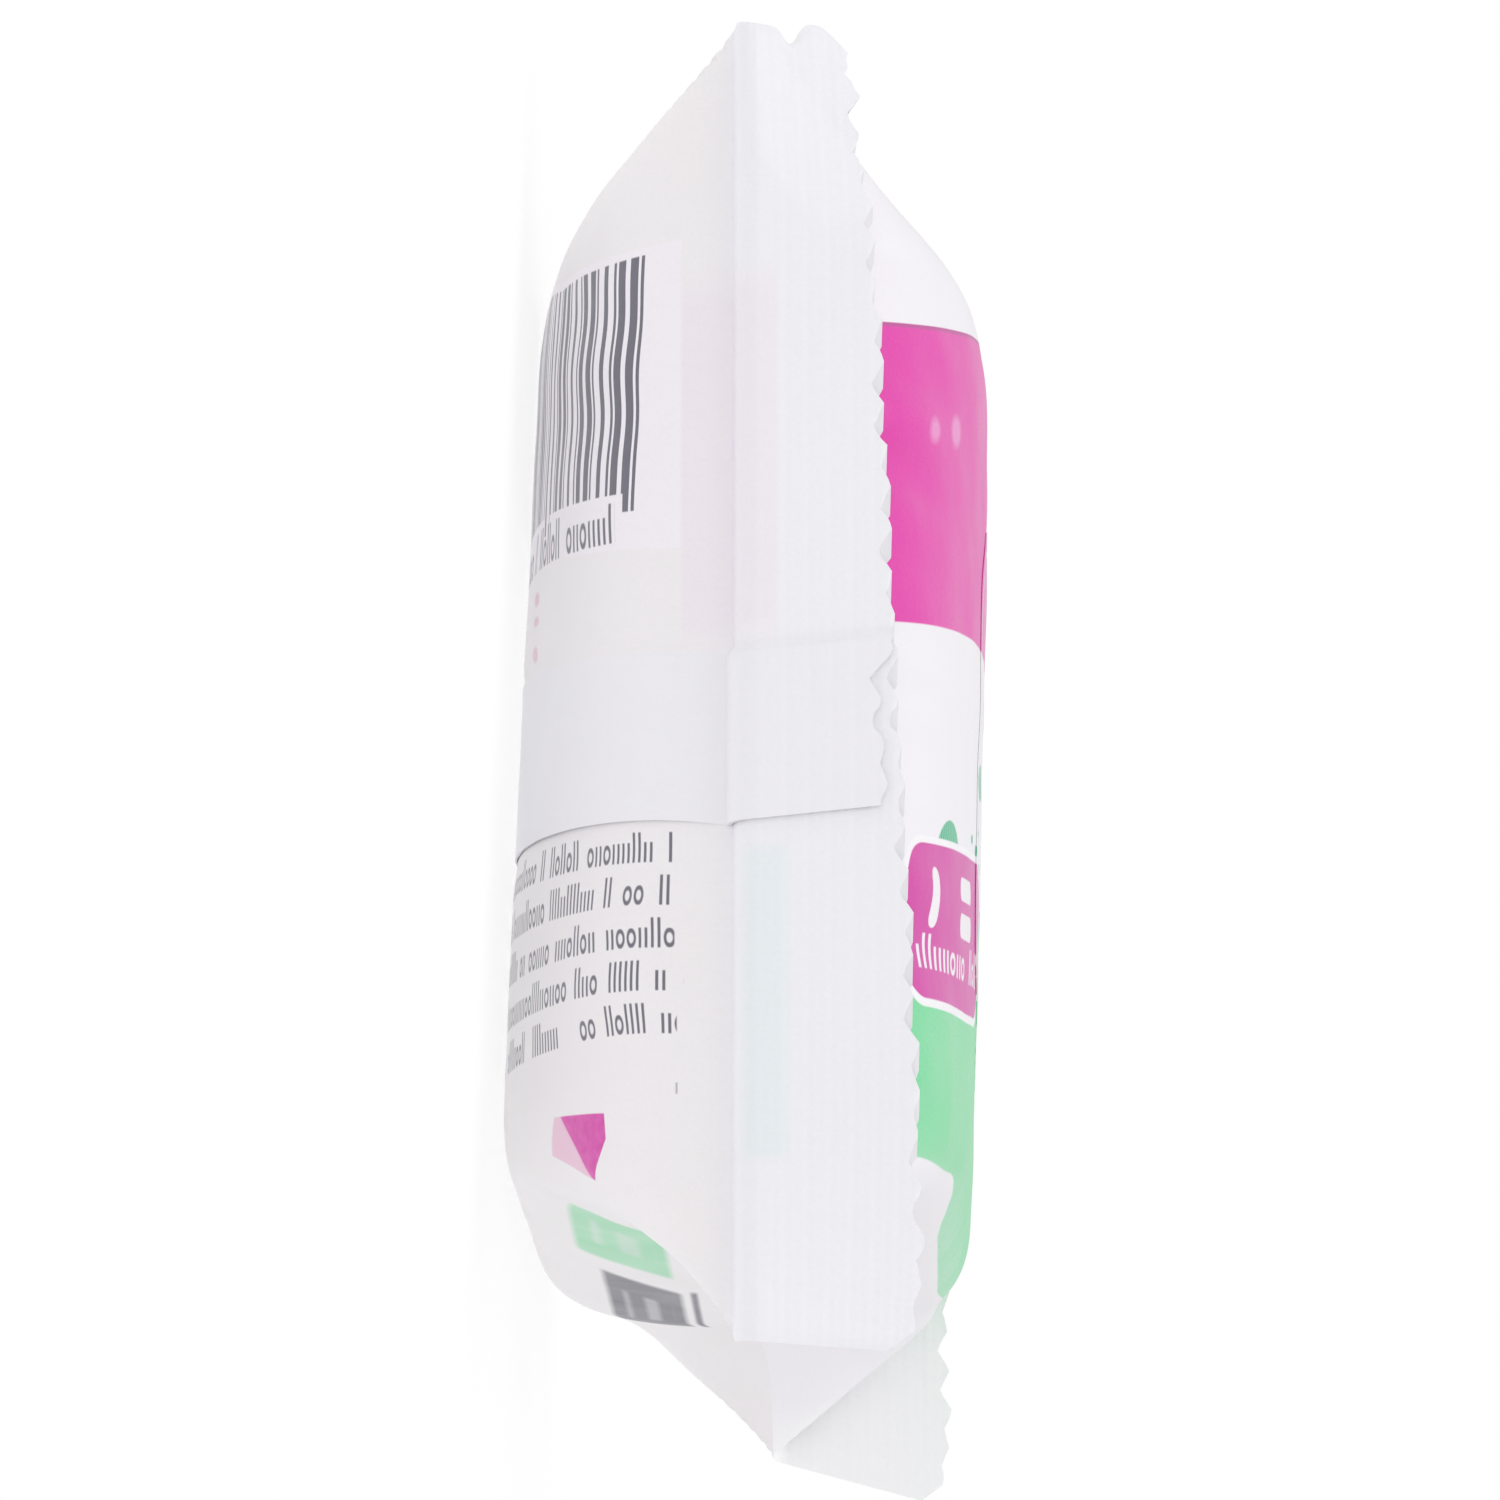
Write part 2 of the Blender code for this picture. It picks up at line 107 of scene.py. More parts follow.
def raw_outline(half_width, along, front):
    """Half of the tube's outline, front or back, from -X to +X."""
    angle = np.linspace(0, math.pi, OUTLINE_POINTS)
    x = -half_width * np.cos(angle)
    share = float(openness(along))
    squareness = SIDE_POWER + (SIDE_POWER_FRONT - SIDE_POWER) * share if front else SIDE_POWER
    root = 2.0 if front else BACK_EDGE_ROOT
    bulge = np.clip(1 - np.abs(x / half_width) ** squareness, 0, None) ** (1 / root)
    x = x + share * (STACK_SHIFT + STACK_SKEW * (along / BODY_LENGTH - 0.5))
    middle = middle_height(x, along)
    if front:
        rise = max(SEAL_THICKNESS / 2, TOP_RISE * share**FRONT_FULLNESS)
        return x, middle + rise * bulge * (1 + FRONT_TILT * x * share)
    drop = max(SEAL_THICKNESS / 2, (SEAL_HEIGHT + FLOOR_PRESS) * share)
    return x, np.maximum(middle - drop * bulge, 0.0)


def arc_lengths(x, z):
    return np.concatenate([[0], np.cumsum(np.hypot(np.diff(x), np.diff(z)))])


class Section:
    """The film tube's outline at one distance along the pack, as wide as its girth lets it be."""

    def __init__(self, along):
        narrow, wide = FLAT_WIDTH / 4, FLAT_WIDTH / 2
        for _ in range(HALVINGS):
            half = (narrow + wide) / 2
            girth = sum(arc_lengths(*raw_outline(half, along, f))[-1] for f in (True, False))
            if girth > 2 * FLAT_WIDTH * pucker(along):
                wide = half
            else:
                narrow = half
        self.halves = {}
        for front in (True, False):
            x, z = raw_outline(half, along, front)
            self.halves[front] = (x, z, arc_lengths(x, z))

    def points(self, position, front):
        """The outline's points at places across the flat film, and the outward directions there."""
        x, z, length = self.halves[front]
        wanted = (position / FLAT_WIDTH + 0.5) * length[-1]
        step = length[-1] * 0.004
        low, high = np.clip(wanted - step, 0, length[-1]), np.clip(wanted + step, 0, length[-1])
        run = np.interp(high, length, x) - np.interp(low, length, x)
        climb = np.interp(high, length, z) - np.interp(low, length, z)
        size = np.hypot(run, climb)
        sign = 1.0 if front else -1.0
        wanted = np.clip(wanted, 0, length[-1])
        return (np.interp(wanted, length, x), np.interp(wanted, length, z),
                -sign * climb / size, sign * run / size)


def gather(position, along, front):
    """Height of the gathers that run from the end seals into the body."""
    near = np.minimum(along, BODY_LENGTH - along)
    turns = 2 * math.pi * position / GATHER_PITCH
    phase = 0.6 if front else 2.3
    wave = np.sin(turns + phase) + 0.6 * np.sin(1.7 * turns + 2 * phase)
    rise = smooth(near / GATHER_RISE)
    fall = 1 - smooth((near - GATHER_RISE) / GATHER_REACH)
    edge = smooth((FLAT_WIDTH / 2 - np.abs(position)) / GATHER_MARGIN)
    height = np.where(along > BODY_LENGTH / 2, GATHER_FAR, GATHER_NEAR_FRONT if front else GATHER_NEAR_BACK)
    return height * wave * rise * fall * edge


def slide(position, along):
    """How far the back's film has slid towards -X."""
    if along < 0:
        drift = FIN_DRIFT_IN_SEAL * min(1.0, -along / SEAL_WIDTH)
    else:
        drift = FIN_DRIFT_IN_BODY * smooth(along / NEAR_SLOPE)
    return -drift * smooth((FLAT_WIDTH / 2 - np.abs(position)) / (FLAT_WIDTH / 4))


def layers(along):
    """Heights of the back under the fin and of the fin's two faces, from the back's own film."""
    seat = float(smooth(min(along, BODY_LENGTH - along) / (12 * (SEAL_THICKNESS + FIN_GAP))))
    gap = FIN_GAP_IN_SEAL + (FIN_GAP - FIN_GAP_IN_SEAL) * seat
    sheet = SEAL_THICKNESS + (FIN_SHEET - SEAL_THICKNESS) * seat
    outer = (1 - seat) * (SEAL_THICKNESS + gap)
    inner = outer - sheet
    return inner - gap, inner, outer


def wander(column):
    """Unevenness of the cut edge, between -1 and 1."""
    return 0.6 * np.sin(0.9 * column) + 0.4 * np.sin(2.3 * column + 1)


# The tube's columns in order round the girth: front, back, under the fin, the fin's two faces, back
KINDS, INDEX = [], []
for kind, run in (("front", range(0, COLUMNS + 1)), ("panel", range(COLUMNS - 1, ROOT - 1, -1)),
                  ("inner", range(ROOT, EDGE + 1)), ("outer", range(EDGE, ROOT - 1, -1)),
                  ("panel", range(ROOT - 1, 0, -1))):
    for column in run:
        KINDS.append(kind)
        INDEX.append(column)
KINDS, INDEX = np.array(KINDS), np.array(INDEX)
POSITION = INDEX * STEP - FLAT_WIDTH / 2
IS_FRONT, IS_PANEL = KINDS == "front", KINDS == "panel"
IS_INNER, IS_OUTER = KINDS == "inner", KINDS == "outer"
IN_FIN = IS_INNER | IS_OUTER
# How far the back panel is pressed in under the fin, 1 there and 0 beside it
UNDER = np.clip((INDEX - ROOT + RATIO) / RATIO, 0, 1)
UNDER = UNDER * np.clip((EDGE + 2 * RATIO - INDEX) / (2 * RATIO), 0, 1)
FIN_SHARE = np.clip((INDEX - ROOT) / (EDGE - ROOT), 0, 1)


# Creases as start, end (across, along), height and width, all in millimetres
BACK_CREASES = (
    ((-41, 2), (-30, 12), 0.22, 1.6), ((-38, 1), (-36, 16), -0.08, 1.8), ((-14, 1), (-11, 12), 0.05, 1.5),
    ((17, 1), (20, 13), 0.10, 1.4), ((27, 1), (29, 20), -0.14, 1.7),
    ((38, 1), (36, 12), 0.20, 1.4), ((43, 2), (34, 22), 0.35, 1.3), ((34, 22), (31, 36), 0.22, 1.6),
    ((40, 12), (38, 40), -0.30, 2.2), ((44, 8), (42, 30), 0.18, 1.5),
    ((30, 108), (38, 124), -0.35, 2.4), ((18, 110), (22, 127), 0.3, 1.8), ((-16, 108), (-20, 127), 0.3, 2.0),
    ((-30, 112), (-36, 125), 0.2, 2.0))
FRONT_CREASES = (
    ((-34, 2), (-24, 18), 0.18, 1.8), ((-44, 4), (-36, 20), -0.25, 2.0), ((-18, 1), (-14, 16), -0.14, 1.7),
    ((6, 1), (9, 18), 0.12, 1.6), ((25, 1), (23, 17), -0.15, 1.6), ((41, 4), (33, 24), 0.32, 1.6),
    ((36, 110), (30, 124), -0.3, 2.0), ((42, 104), (37, 126), 0.35, 1.8), ((12, 112), (10, 126), 0.15, 1.8),
    ((-28, 110), (-33, 126), 0.35, 2.0), ((-8, 113), (-10, 127), -0.25, 1.7),
    ((-40, 100), (-44, 122), 0.3, 2.2), ((22, 114), (24, 127), 0.3, 1.5), ((33, 1), (27, 12), 0.22, 1.4))


def ridge(position, along, start, end, height, width):
    """A soft raised line between two points of the film, given as (across, along) in millimetres."""
    run = np.array(end) - np.array(start)
    px, py = position * 1000 - start[0], along * 1000 - start[1]
    share = np.clip((px * run[0] + py * run[1]) / (run @ run), 0, 1)
    away = np.hypot(px - share * run[0], py - share * run[1])
    fade = np.sin(math.pi * np.clip(share, 0.02, 0.98)) ** 0.5
    return height / 1000 * np.exp(-((away / width) ** 2)) * fade


def film_relief(position, along, front):
    """Soft creases and unevenness of the film, in metres, along its outward side."""
    x, y = position * 1000, along * 1000
    free = smooth(along / 0.004) * smooth((BODY_LENGTH - along) / 0.004)
    uneven = 0.05 * np.sin(0.31 * x + 0.9 * np.sin(0.11 * y)) * np.sin(0.17 * y + 0.8 * np.sin(0.23 * x))
    uneven += 0.03 * np.sin(0.62 * x - 0.35 * y) * np.sin(0.21 * x + 0.5 * y + 1)
    relief = uneven / 1000 * free
    for start, end, height, width in (FRONT_CREASES if front else BACK_CREASES):
        relief = relief + ridge(position, along, start, end, height, width) * free
    return relief


def body_row(along):
    """All the tube's points at one distance along the pack."""
    section = Section(along)
    rows = np.zeros((len(KINDS), 3))
    inner_panel, inner, outer = layers(along)
    for front in (True, False):
        mask = IS_FRONT if front else ~IS_FRONT
        position = POSITION[mask]
        moved = position if front else position + slide(position, along)
        x, z, out_x, out_z = section.points(moved, front)
        offset = gather(position, along, front) + film_relief(moved, along, front)
        if not front:
            offset += np.where(IS_PANEL[mask], UNDER[mask] * inner_panel, 0)
            reach = 0.6 * NEAR_SLOPE
            swell = smooth(along / (0.2 * reach)) * (1 - smooth((along - 0.35 * reach) / (0.65 * reach)))
            lift = FIN_LIFT * swell * FIN_SHARE[mask] ** 2
            offset += np.where(IN_FIN[mask], np.where(IS_INNER[mask], inner, outer) + lift, 0)
        z = z + out_z * offset
        if not front:
            z = np.maximum(z, 0.0)
        rows[mask] = np.stack([x + out_x * offset, np.full_like(x, along), z], 1)
    return rows


def corner_fold(x, distance):
    """The near seal's corner at -X is folded a little forward: how far its points lie off the flat."""
    past = 0.60 * (FOLD_X - x) + 0.80 * (distance - FOLD_START)
    past = past * smooth((-0.030 - x) / 0.004)
    return FOLD_SLOPE * np.clip(past, 0, FOLD_MOST) * smooth(distance / 0.002)


def corner_notch(x, distance):
    """The same corner has a notch beside a small lobe: how far its points lie towards +X."""
    end = np.clip((-x - 0.040) / 0.0060, 0, 1) ** 2
    notch = NOTCH_DEPTH * np.exp(-(((distance - NOTCH_AT) / NOTCH_HALF) ** 2))
    return end * (notch - LOBE * smooth((distance - NOTCH_AT - 0.0002) / 0.0015))


def seal_row(row, near):
    """One row of an end seal, and each point's distance from the seal's line."""
    rows = BEND_ROWS + RIB_ROWS
    x = POSITION * SEAL_LENGTH / FLAT_WIDTH
    share = 2 * x / SEAL_LENGTH
    corner = CORNER_ROUND * np.clip((np.abs(share) - 0.93) / 0.07, 0, None) ** 2
    if near:
        curl = NEAR_CURL * np.clip((np.abs(share) - 0.6) / 0.4, 0, None) ** 1.5
        angle = NEAR_BEND - NEAR_TWIST * share + curl
        setback = FIN_SETBACK * np.minimum(1.0, (INDEX - ROOT) / (2 * RATIO))
        width = SEAL_WIDTH + SEAL_SKEW * share - corner - np.where(IN_FIN, setback, 0)
        torn = TORN * np.sin(5.3 * INDEX + 2 * np.sin(1.9 * INDEX)) * np.sin(0.23 * INDEX)
    else:
        angle = FAR_BEND + FAR_TWIST * share
        width = FAR_SEAL_WIDTH - corner
        torn = 0.0
    arc = BEND_RADIUS * angle
    column = INDEX / RATIO
    tooth = 1 - 2 * np.abs(column % 2 - 1)
    fade = max(0.0, (row - rows + 2) / 2)
    width = width + fade * (TOOTH_DEPTH / 2 * tooth + TOOTH_WANDER * wander(column) + torn)
    if row <= BEND_ROWS:
        distance = arc * row / BEND_ROWS
    else:
        distance = arc + (width - arc) * (row - BEND_ROWS) / RIB_ROWS
    straight = np.maximum(0.0, distance - arc)
    if near:
        slid = np.array([float(slide(p, -max(1e-9, d))) for p, d in zip(POSITION, distance)])
        x = x + np.where(IS_FRONT, 0, slid)
    turned = np.minimum(distance / BEND_RADIUS, angle)
    out = BEND_RADIUS * np.sin(turned) + straight * np.cos(turned)
    up = BEND_RADIUS * (1 - np.cos(turned)) + straight * np.sin(turned)
    half = SEAL_THICKNESS / 2
    _, inner, outer = layers(0)
    offset = np.select([IS_FRONT, IS_PANEL, IS_INNER], [half, -half, -half - inner], -half - outer)
    offset = np.where((INDEX == 0) | (INDEX == COLUMNS), 0.0, offset)
    offset = offset + RIB_HEIGHT * np.sin(straight / RIB_PITCH * 2 * math.pi) * smooth(straight / RIB_START)
    if near:
        offset = offset + corner_fold(x, distance)
        x = x + corner_notch(x, distance)
    out = out - offset * np.sin(turned)
    up = up + offset * np.cos(turned)
    base = 0.0 if near else BODY_LENGTH
    place = middle_height(x, base) + up
    if not near:
        x = x + FAR_FLARE * distance / width * smooth(share)
    return np.stack([x, base - out if near else base + out, place], 1), distance


def film_length():
    """Distances along the pack, and the flat film's length up to each of them."""
    dense = np.linspace(0, BODY_LENGTH, 4000)
    climb = np.gradient(SEAL_HEIGHT * openness(dense), dense)
    return dense, np.concatenate([[0], np.cumsum(np.sqrt(1 + climb[1:] ** 2) * np.diff(dense))])


def film_rows():
    """The wrapper's points, row by row between the cut edges, and their places along the flat film."""
    dense, length = film_length()
    count = round(length[-1] / ROW_STEP)
    rows, flats = [], []
    for row in range(BEND_ROWS + RIB_ROWS, -1, -1):
        points, distance = seal_row(row, True)
        rows.append(points)
        flats.append(-distance)
    for spot in np.linspace(0, length[-1], count + 1)[1:-1]:
        rows.append(body_row(float(np.interp(spot, length, dense))))
        flats.append(np.full(len(KINDS), spot))
    for row in range(BEND_ROWS + RIB_ROWS + 1):
        points, distance = seal_row(row, False)
        rows.append(points)
        flats.append(length[-1] + distance)
    return rows, np.concatenate(flats)


def strip_faces(total):
    """Faces between the rows, and the side of the film that each is on: 0 front, 1 back, 2 fin, 3 hidden."""
    around = len(KINDS)
    column = np.arange(around)
    following = (column + 1) % around
    side = np.where(IS_FRONT & IS_FRONT[following], 0, 1)
    side = np.where(IS_OUTER & IS_OUTER[following], 2, side)
    side = np.where(IS_INNER | IS_INNER[following], 3, side)
    faces = []
    for row in range(total - 1):
        a, b = row * around + column, row * around + following
        faces.append(np.stack([a, b, b + around, a + around], 1))
    return np.concatenate(faces).tolist(), np.tile(side, total - 1).tolist()


def end_faces(start):
    """Faces that close one cut edge, whose row begins at vertex `start`."""

    def spot_of(kind, index):
        return start + int(np.nonzero((KINDS == kind) & (INDEX == index))[0][0])

    front = [spot_of("front", i) for i in range(COLUMNS + 1)]
    back = [front[0]] + [spot_of("panel", i) for i in range(1, COLUMNS)] + [front[-1]]
    inner = {i: spot_of("inner", i) for i in range(ROOT, EDGE + 1)}
    outer = {i: spot_of("outer", i) for i in range(ROOT, EDGE + 1)}
    faces = []
    for i in range(COLUMNS):
        ring = [front[i], front[i + 1]]
        if i == ROOT - 1:
            ring += [back[i + 1], inner[i + 1], outer[i + 1], back[i]]
        else:
            ring += [v for v in (back[i + 1], back[i]) if v not in ring]
        faces.append(ring)
    return faces + [[inner[i], inner[i + 1], outer[i + 1], outer[i]] for i in range(ROOT, EDGE)]


def turn_outward(mesh):
    bm = bmesh.new()
    bm.from_mesh(mesh)
    bmesh.ops.recalc_face_normals(bm, faces=bm.faces)
    bm.to_mesh(mesh)
    bm.free()


def corner_vertices(mesh):
    """The vertex of each face corner."""
    found = np.empty(len(mesh.loops), np.int32)
    mesh.loops.foreach_get("vertex_index", found)
    return found


def add_film_map(mesh, u, v):
    """The film's flat coordinates as a UV map, in tenths of a metre, with u counted from 50 mm left."""
    made = mesh.uv_layers.new(name="film")
    made.data.foreach_set("uv", np.stack([u, v], 1).astype(np.float32).ravel())
    return made


def add_bake_map(mesh, u, v, sides, strips):
    """A flat layout for baking: front, back and the fin's faces side by side, and each cut edge's strip."""
    counts = np.empty(len(mesh.polygons), np.int32)
    mesh.polygons.foreach_get("loop_total", counts)
    shift = np.choose(np.repeat(np.array(sides), counts), BAKE_COLUMNS)
    laid = np.stack([(u + shift + 0.02) / BAKE_WIDTH, (v + 0.16) / BAKE_WIDTH * 1.2], 1)
    # The cut edges have no width on the flat film, and get strips of their own
    level = np.select([IS_FRONT, IS_PANEL, IS_INNER], [0, 1, 2], 3)[corner_vertices(mesh) % len(KINDS)]
    strip = np.stack([(u + 0.02) / BAKE_WIDTH, 0.86 + 0.06 * (v > 0) + 0.01 * level], 1)
    is_end = np.repeat(np.arange(len(sides)) >= strips, counts)
    laid = np.where(is_end[:, None], strip, laid)
    mesh.uv_layers.new(name="OFBake").data.foreach_set("uv", laid.astype(np.float32).ravel())


def film_piece():
    """The whole wrapper as one closed mesh."""
    rows, flat = film_rows()
    faces, sides = strip_faces(len(rows))
    strips = len(faces)
    for start in (0, (len(rows) - 1) * len(KINDS)):
        faces += end_faces(start)
    sides += [3] * (len(faces) - strips)
    mesh = bpy.data.meshes.new("film")
    mesh.from_pydata((np.concatenate(rows) - MIDDLE_POINT).tolist(), [], faces)
    mesh.update()
    turn_outward(mesh)
    corners = corner_vertices(mesh)
    u, v = np.tile(POSITION, len(rows))[corners] * 10 + 0.5, flat[corners] * 10
    film_map = add_film_map(mesh, u, v)
    add_bake_map(mesh, u, v, sides, strips)
    mesh.uv_layers.active = film_map
    film_map.active_render = True
    mesh.polygons.foreach_set("material_index", np.array(sides, np.int32))
    return finished("film_wrapper", mesh, 55)


def finished(name, mesh, sharp):
    """A smooth object with edges kept sharp where they turn by more than `sharp` degrees."""
    mesh.shade_smooth()
    mesh.set_sharp_from_angle(angle=math.radians(sharp))
    made = bpy.data.objects.new(name, mesh)
    bpy.context.scene.collection.objects.link(made)
    return made


def srgb(r, g, b):
    """A colour given as on screen, from 0 to 255."""

    def linear(c):
        c /= 255
        return c / 12.92 if c <= 0.04045 else ((c + 0.055) / 1.055) ** 2.4
    return (linear(r), linear(g), linear(b), 1.0)


FLAT_LENGTH = 142.7  # of the film between the seals, in millimetres
CRIMP_PITCH = 0.8  # of the end seals' finest ribs


class Nodes:
    """A node tree, written as expressions."""

    def __init__(self, tree):
        self.tree = tree

    def new(self, kind):
        return self.tree.nodes.new("ShaderNode" + kind)

    def put(self, socket, value):
        """Joins a value to a socket, or writes a plain number or colour there."""
        if isinstance(value, bpy.types.NodeSocket):
            self.tree.links.new(value, socket)
        else:
            socket.default_value = value

    def math(self, operation, *values, clamp=False):
        node = self.new("Math")
        node.operation = operation
        node.use_clamp = clamp
        for socket, value in zip(node.inputs, values):
            self.put(socket, value)
        return node.outputs[0]

    def mixed(self, share, first, second):
        """One shader, with a share of the second in its place."""
        node = self.new("MixShader")
        for socket, value in zip(node.inputs, (share, first, second)):
            self.put(socket, value)
        return node.outputs[0]

    def most(self, *masks):
        """1 where any of the masks is 1. For other values, the greatest of them."""
        found = masks[0]
        for mask in masks[1:]:
            found = self.math("MAXIMUM", found, mask)
        return found

    def ramp(self, value, low, high, start, finish, kind="LINEAR"):
        """Goes from start to finish while the value goes from low to high."""
        node = self.new("MapRange")
        node.interpolation_type = kind
        names = ("Value", "From Min", "From Max", "To Min", "To Max")
        for name, number in zip(names, (value, low, high, start, finish)):
            self.put(node.inputs[name], number)
        return node.outputs["Result"]

    def seen(self, *rays):
        """1 for the rays named, such as those from the camera."""
        path = self.new("LightPath")
        return self.most(*(path.outputs[ray] for ray in rays))

    def white(self, kind):
        node = self.new(kind)
        node.inputs["Color"].default_value = (1, 1, 1, 1)
        node.inputs["Strength"].default_value = 1.0
        return node.outputs[0]


class Ink(Nodes):
    """A material's nodes, written as expressions of u and v: millimetres across and along the film."""

    def __init__(self, name):
        self.material = bpy.data.materials.new(name)
        self.material.use_nodes = True
        super().__init__(self.material.node_tree)
        self.shader = self.tree.nodes["Principled BSDF"]
        spot = self.new("UVMap")
        spot.uv_map = "film"
        split = self.new("SeparateXYZ")
        self.put(split.inputs[0], spot.outputs[0])
        self.u = self.line(split.outputs[0], 100, -50)
        self.v = self.mul(split.outputs[1], 100)

    def add(self, a, b):
        return self.math("ADD", a, b)

    def sub(self, a, b):
        return self.math("SUBTRACT", a, b)

    def mul(self, a, b):
        return self.math("MULTIPLY", a, b)

    def both(self, *masks):
        """1 where all the masks are 1."""
        found = masks[0]
        for mask in masks[1:]:
            found = self.mul(found, mask)
        return found

    def less(self, a, b, soft=0.12):
        """1 where a is less than b, over a soft edge in millimetres."""
        return self.line(self.sub(b, a), 1 / soft, 0.5, clamp=True)

    def line(self, value, slope, start, clamp=False):
        """slope * value + start"""
        return self.math("MULTIPLY_ADD", value, slope, start, clamp=clamp)

    def span(self, value, low, high, soft=0.12):
        """1 where the value lies between low and high."""
        return self.mul(self.less(low, value, soft), self.less(value, high, soft))

    def box(self, u, v, u0, u1, v0, v1, corner=0.0, soft=0.12):
        """1 inside a box with round corners."""
        across = self.sub(self.math("ABSOLUTE", self.sub(u, (u0 + u1) / 2)), (u1 - u0) / 2 - corner)
        along = self.sub(self.math("ABSOLUTE", self.sub(v, (v0 + v1) / 2)), (v1 - v0) / 2 - corner)
        outside = self.math("SQRT", self.add(self.math("POWER", self.most(across, 0), 2),
                                             self.math("POWER", self.most(along, 0), 2)))
        inside = self.math("MINIMUM", self.most(across, along), 0)
        return self.less(self.add(outside, inside), corner, soft)

    def ellipse(self, u, v, at_u, at_v, half_u, half_v, soft=0.12):
        a = self.mul(self.sub(u, at_u), 1 / half_u)
        b = self.mul(self.sub(v, at_v), 1 / half_v)
        away = self.math("SQRT", self.add(self.mul(a, a), self.mul(b, b)))
        return self.less(away, 1.0, soft / min(half_u, half_v))

    def noise(self, u, v, size_u, size_v, detail=2.0, shift=0.0):
        """Smooth noise between about 0 and 1, with features of the given sizes in millimetres."""
        place = self.new("CombineXYZ")
        self.put(place.inputs[0], self.mul(u, 1 / size_u))
        self.put(place.inputs[1], self.mul(v, 1 / size_v))
        place.inputs[2].default_value = shift
        node = self.new("TexNoise")
        node.inputs["Scale"].default_value = 1.0
        node.inputs["Detail"].default_value = detail
        self.put(node.inputs["Vector"], place.outputs[0])
        return node.outputs["Fac"]

    def chance(self, number):
        """A number between 0 and 1 that differs for each value."""
        node = self.new("TexWhiteNoise")
        node.noise_dimensions = "1D"
        self.put(node.inputs["W"], number)
        return node.outputs["Value"]

    def greek(self, u, v, first, pitch, lines, height, v0, v1, letter):
        """Unreadable lines in place of text: short strokes in groups. first is the first line's foot."""
        place = self.mul(self.sub(u, first - 0.95 * pitch), 1 / pitch)
        line = self.math("FLOOR", place)
        foot = self.mul(self.sub(place, line), pitch)
        cells = self.add(self.mul(v, 1 / letter), self.mul(line, 0.37))
        cell = self.math("FLOOR", cells)
        luck = self.chance(self.add(cell, self.mul(line, 61.0)))
        word = self.less(0.17, luck, 0.001)
        tall = self.less(0.74, luck, 0.001)
        top = self.sub(0.95 * pitch - height, self.mul(tall, height * 0.5))
        across = self.sub(cells, cell)
        stem = self.math("PINGPONG", self.add(self.mul(across, 2.0), 0.5), 0.5)
        ring = self.math("SQRT", self.add(
            self.math("POWER", self.mul(self.sub(across, 0.5), 2.4), 2),
            self.math("POWER", self.mul(self.sub(foot, 0.95 * pitch - height / 2), 2 / height), 2)))
        round_one = self.less(luck, 0.52, 0.001)
        ink = self.add(self.mul(round_one, self.span(ring, 0.52, 1.0, 0.2)),
                       self.mul(self.sub(1.0, round_one), self.less(stem, 0.22, 0.12)))
        end = self.add(v0, self.mul(self.chance(self.add(line, 0.5)), 1.0))
        return self.both(ink, word, self.span(foot, top, 0.95 * pitch), self.less(end, v), self.less(v, v1),
                         self.span(line, -0.5, lines - 0.5, 0.1))

    def bars(self, place, first, count, module):
        """Bands of uneven width over `place`, made up, as in a bar code. Returns the mask and its length."""
        widths = [1 + (7 * k * k + 3 * k + first) % 5 // 2 for k in range(count)]
        total = sum(widths) * module
        ramp = self.new("ValToRGB")
        ramp.color_ramp.interpolation = "CONSTANT"
        marks = ramp.color_ramp.elements
        while len(marks) > 1:
            marks.remove(marks[-1])
        reach = 0.0
        for k, width in enumerate(widths):
            mark = marks[0] if k == 0 else marks.new(reach * module / total)
            mark.position = reach * module / total
            mark.color = (1, 1, 1, 1) if k % 2 == 0 else (0, 0, 0, 1)
            reach += width
        self.put(ramp.inputs[0], self.mul(place, 1 / total))
        return self.mul(ramp.outputs[0], self.span(place, 0.0, total, 0.02)), total

    def paint(self, under, over, mask, blend="MIX"):
        """One colour over another where the mask is 1."""
        node = self.new("Mix")
        node.data_type, node.blend_type = "RGBA", blend
        self.put(node.inputs["Factor"], mask)
        self.put(node.inputs["A"], under)
        self.put(node.inputs["B"], over)
        return node.outputs["Result"]

    def grain(self, colour, amount, size):
        """Fine speckle of the print."""
        speckle = self.noise(self.u, self.v, size, size, 1.0, 3.0)
        value = self.line(speckle, 2 * amount, 1 - amount)
        tone = self.new("CombineXYZ")
        for k in range(3):
            self.put(tone.inputs[k], value)
        return self.paint(colour, tone.outputs[0], 1.0, "MULTIPLY")

    def crinkles(self):
        """Height of the film's streaks, crumples, pores and crimp, as a share of the bump's distance."""
        in_body = self.less(self.math("ABSOLUTE", self.sub(self.v, FLAT_LENGTH / 2)), FLAT_LENGTH / 2, 0.6)
        crimp = self.mul(self.math("SINE", self.mul(self.v, 2 * math.pi / CRIMP_PITCH)),
                         self.mul(self.sub(1.0, in_body), 0.06))
        end = self.math("MINIMUM", self.v, self.sub(FLAT_LENGTH, self.v))
        gathered = self.line(self.less(end, 12.0, 16.0), 0.75, 0.25)
        streaks = self.mul(self.noise(self.u, self.v, 1.3, 9.0, 3.0, 1.0), self.mul(gathered, 1.6))
        crumple = self.noise(self.u, self.v, 5.0, 6.0, 4.0, 8.0)
        pores = self.noise(self.u, self.v, 0.45, 0.45, 1.0, 2.0)
        return self.add(self.add(self.mul(streaks, 0.8), self.mul(crumple, 1.5)),
                        self.add(self.mul(pores, 0.10), crimp))

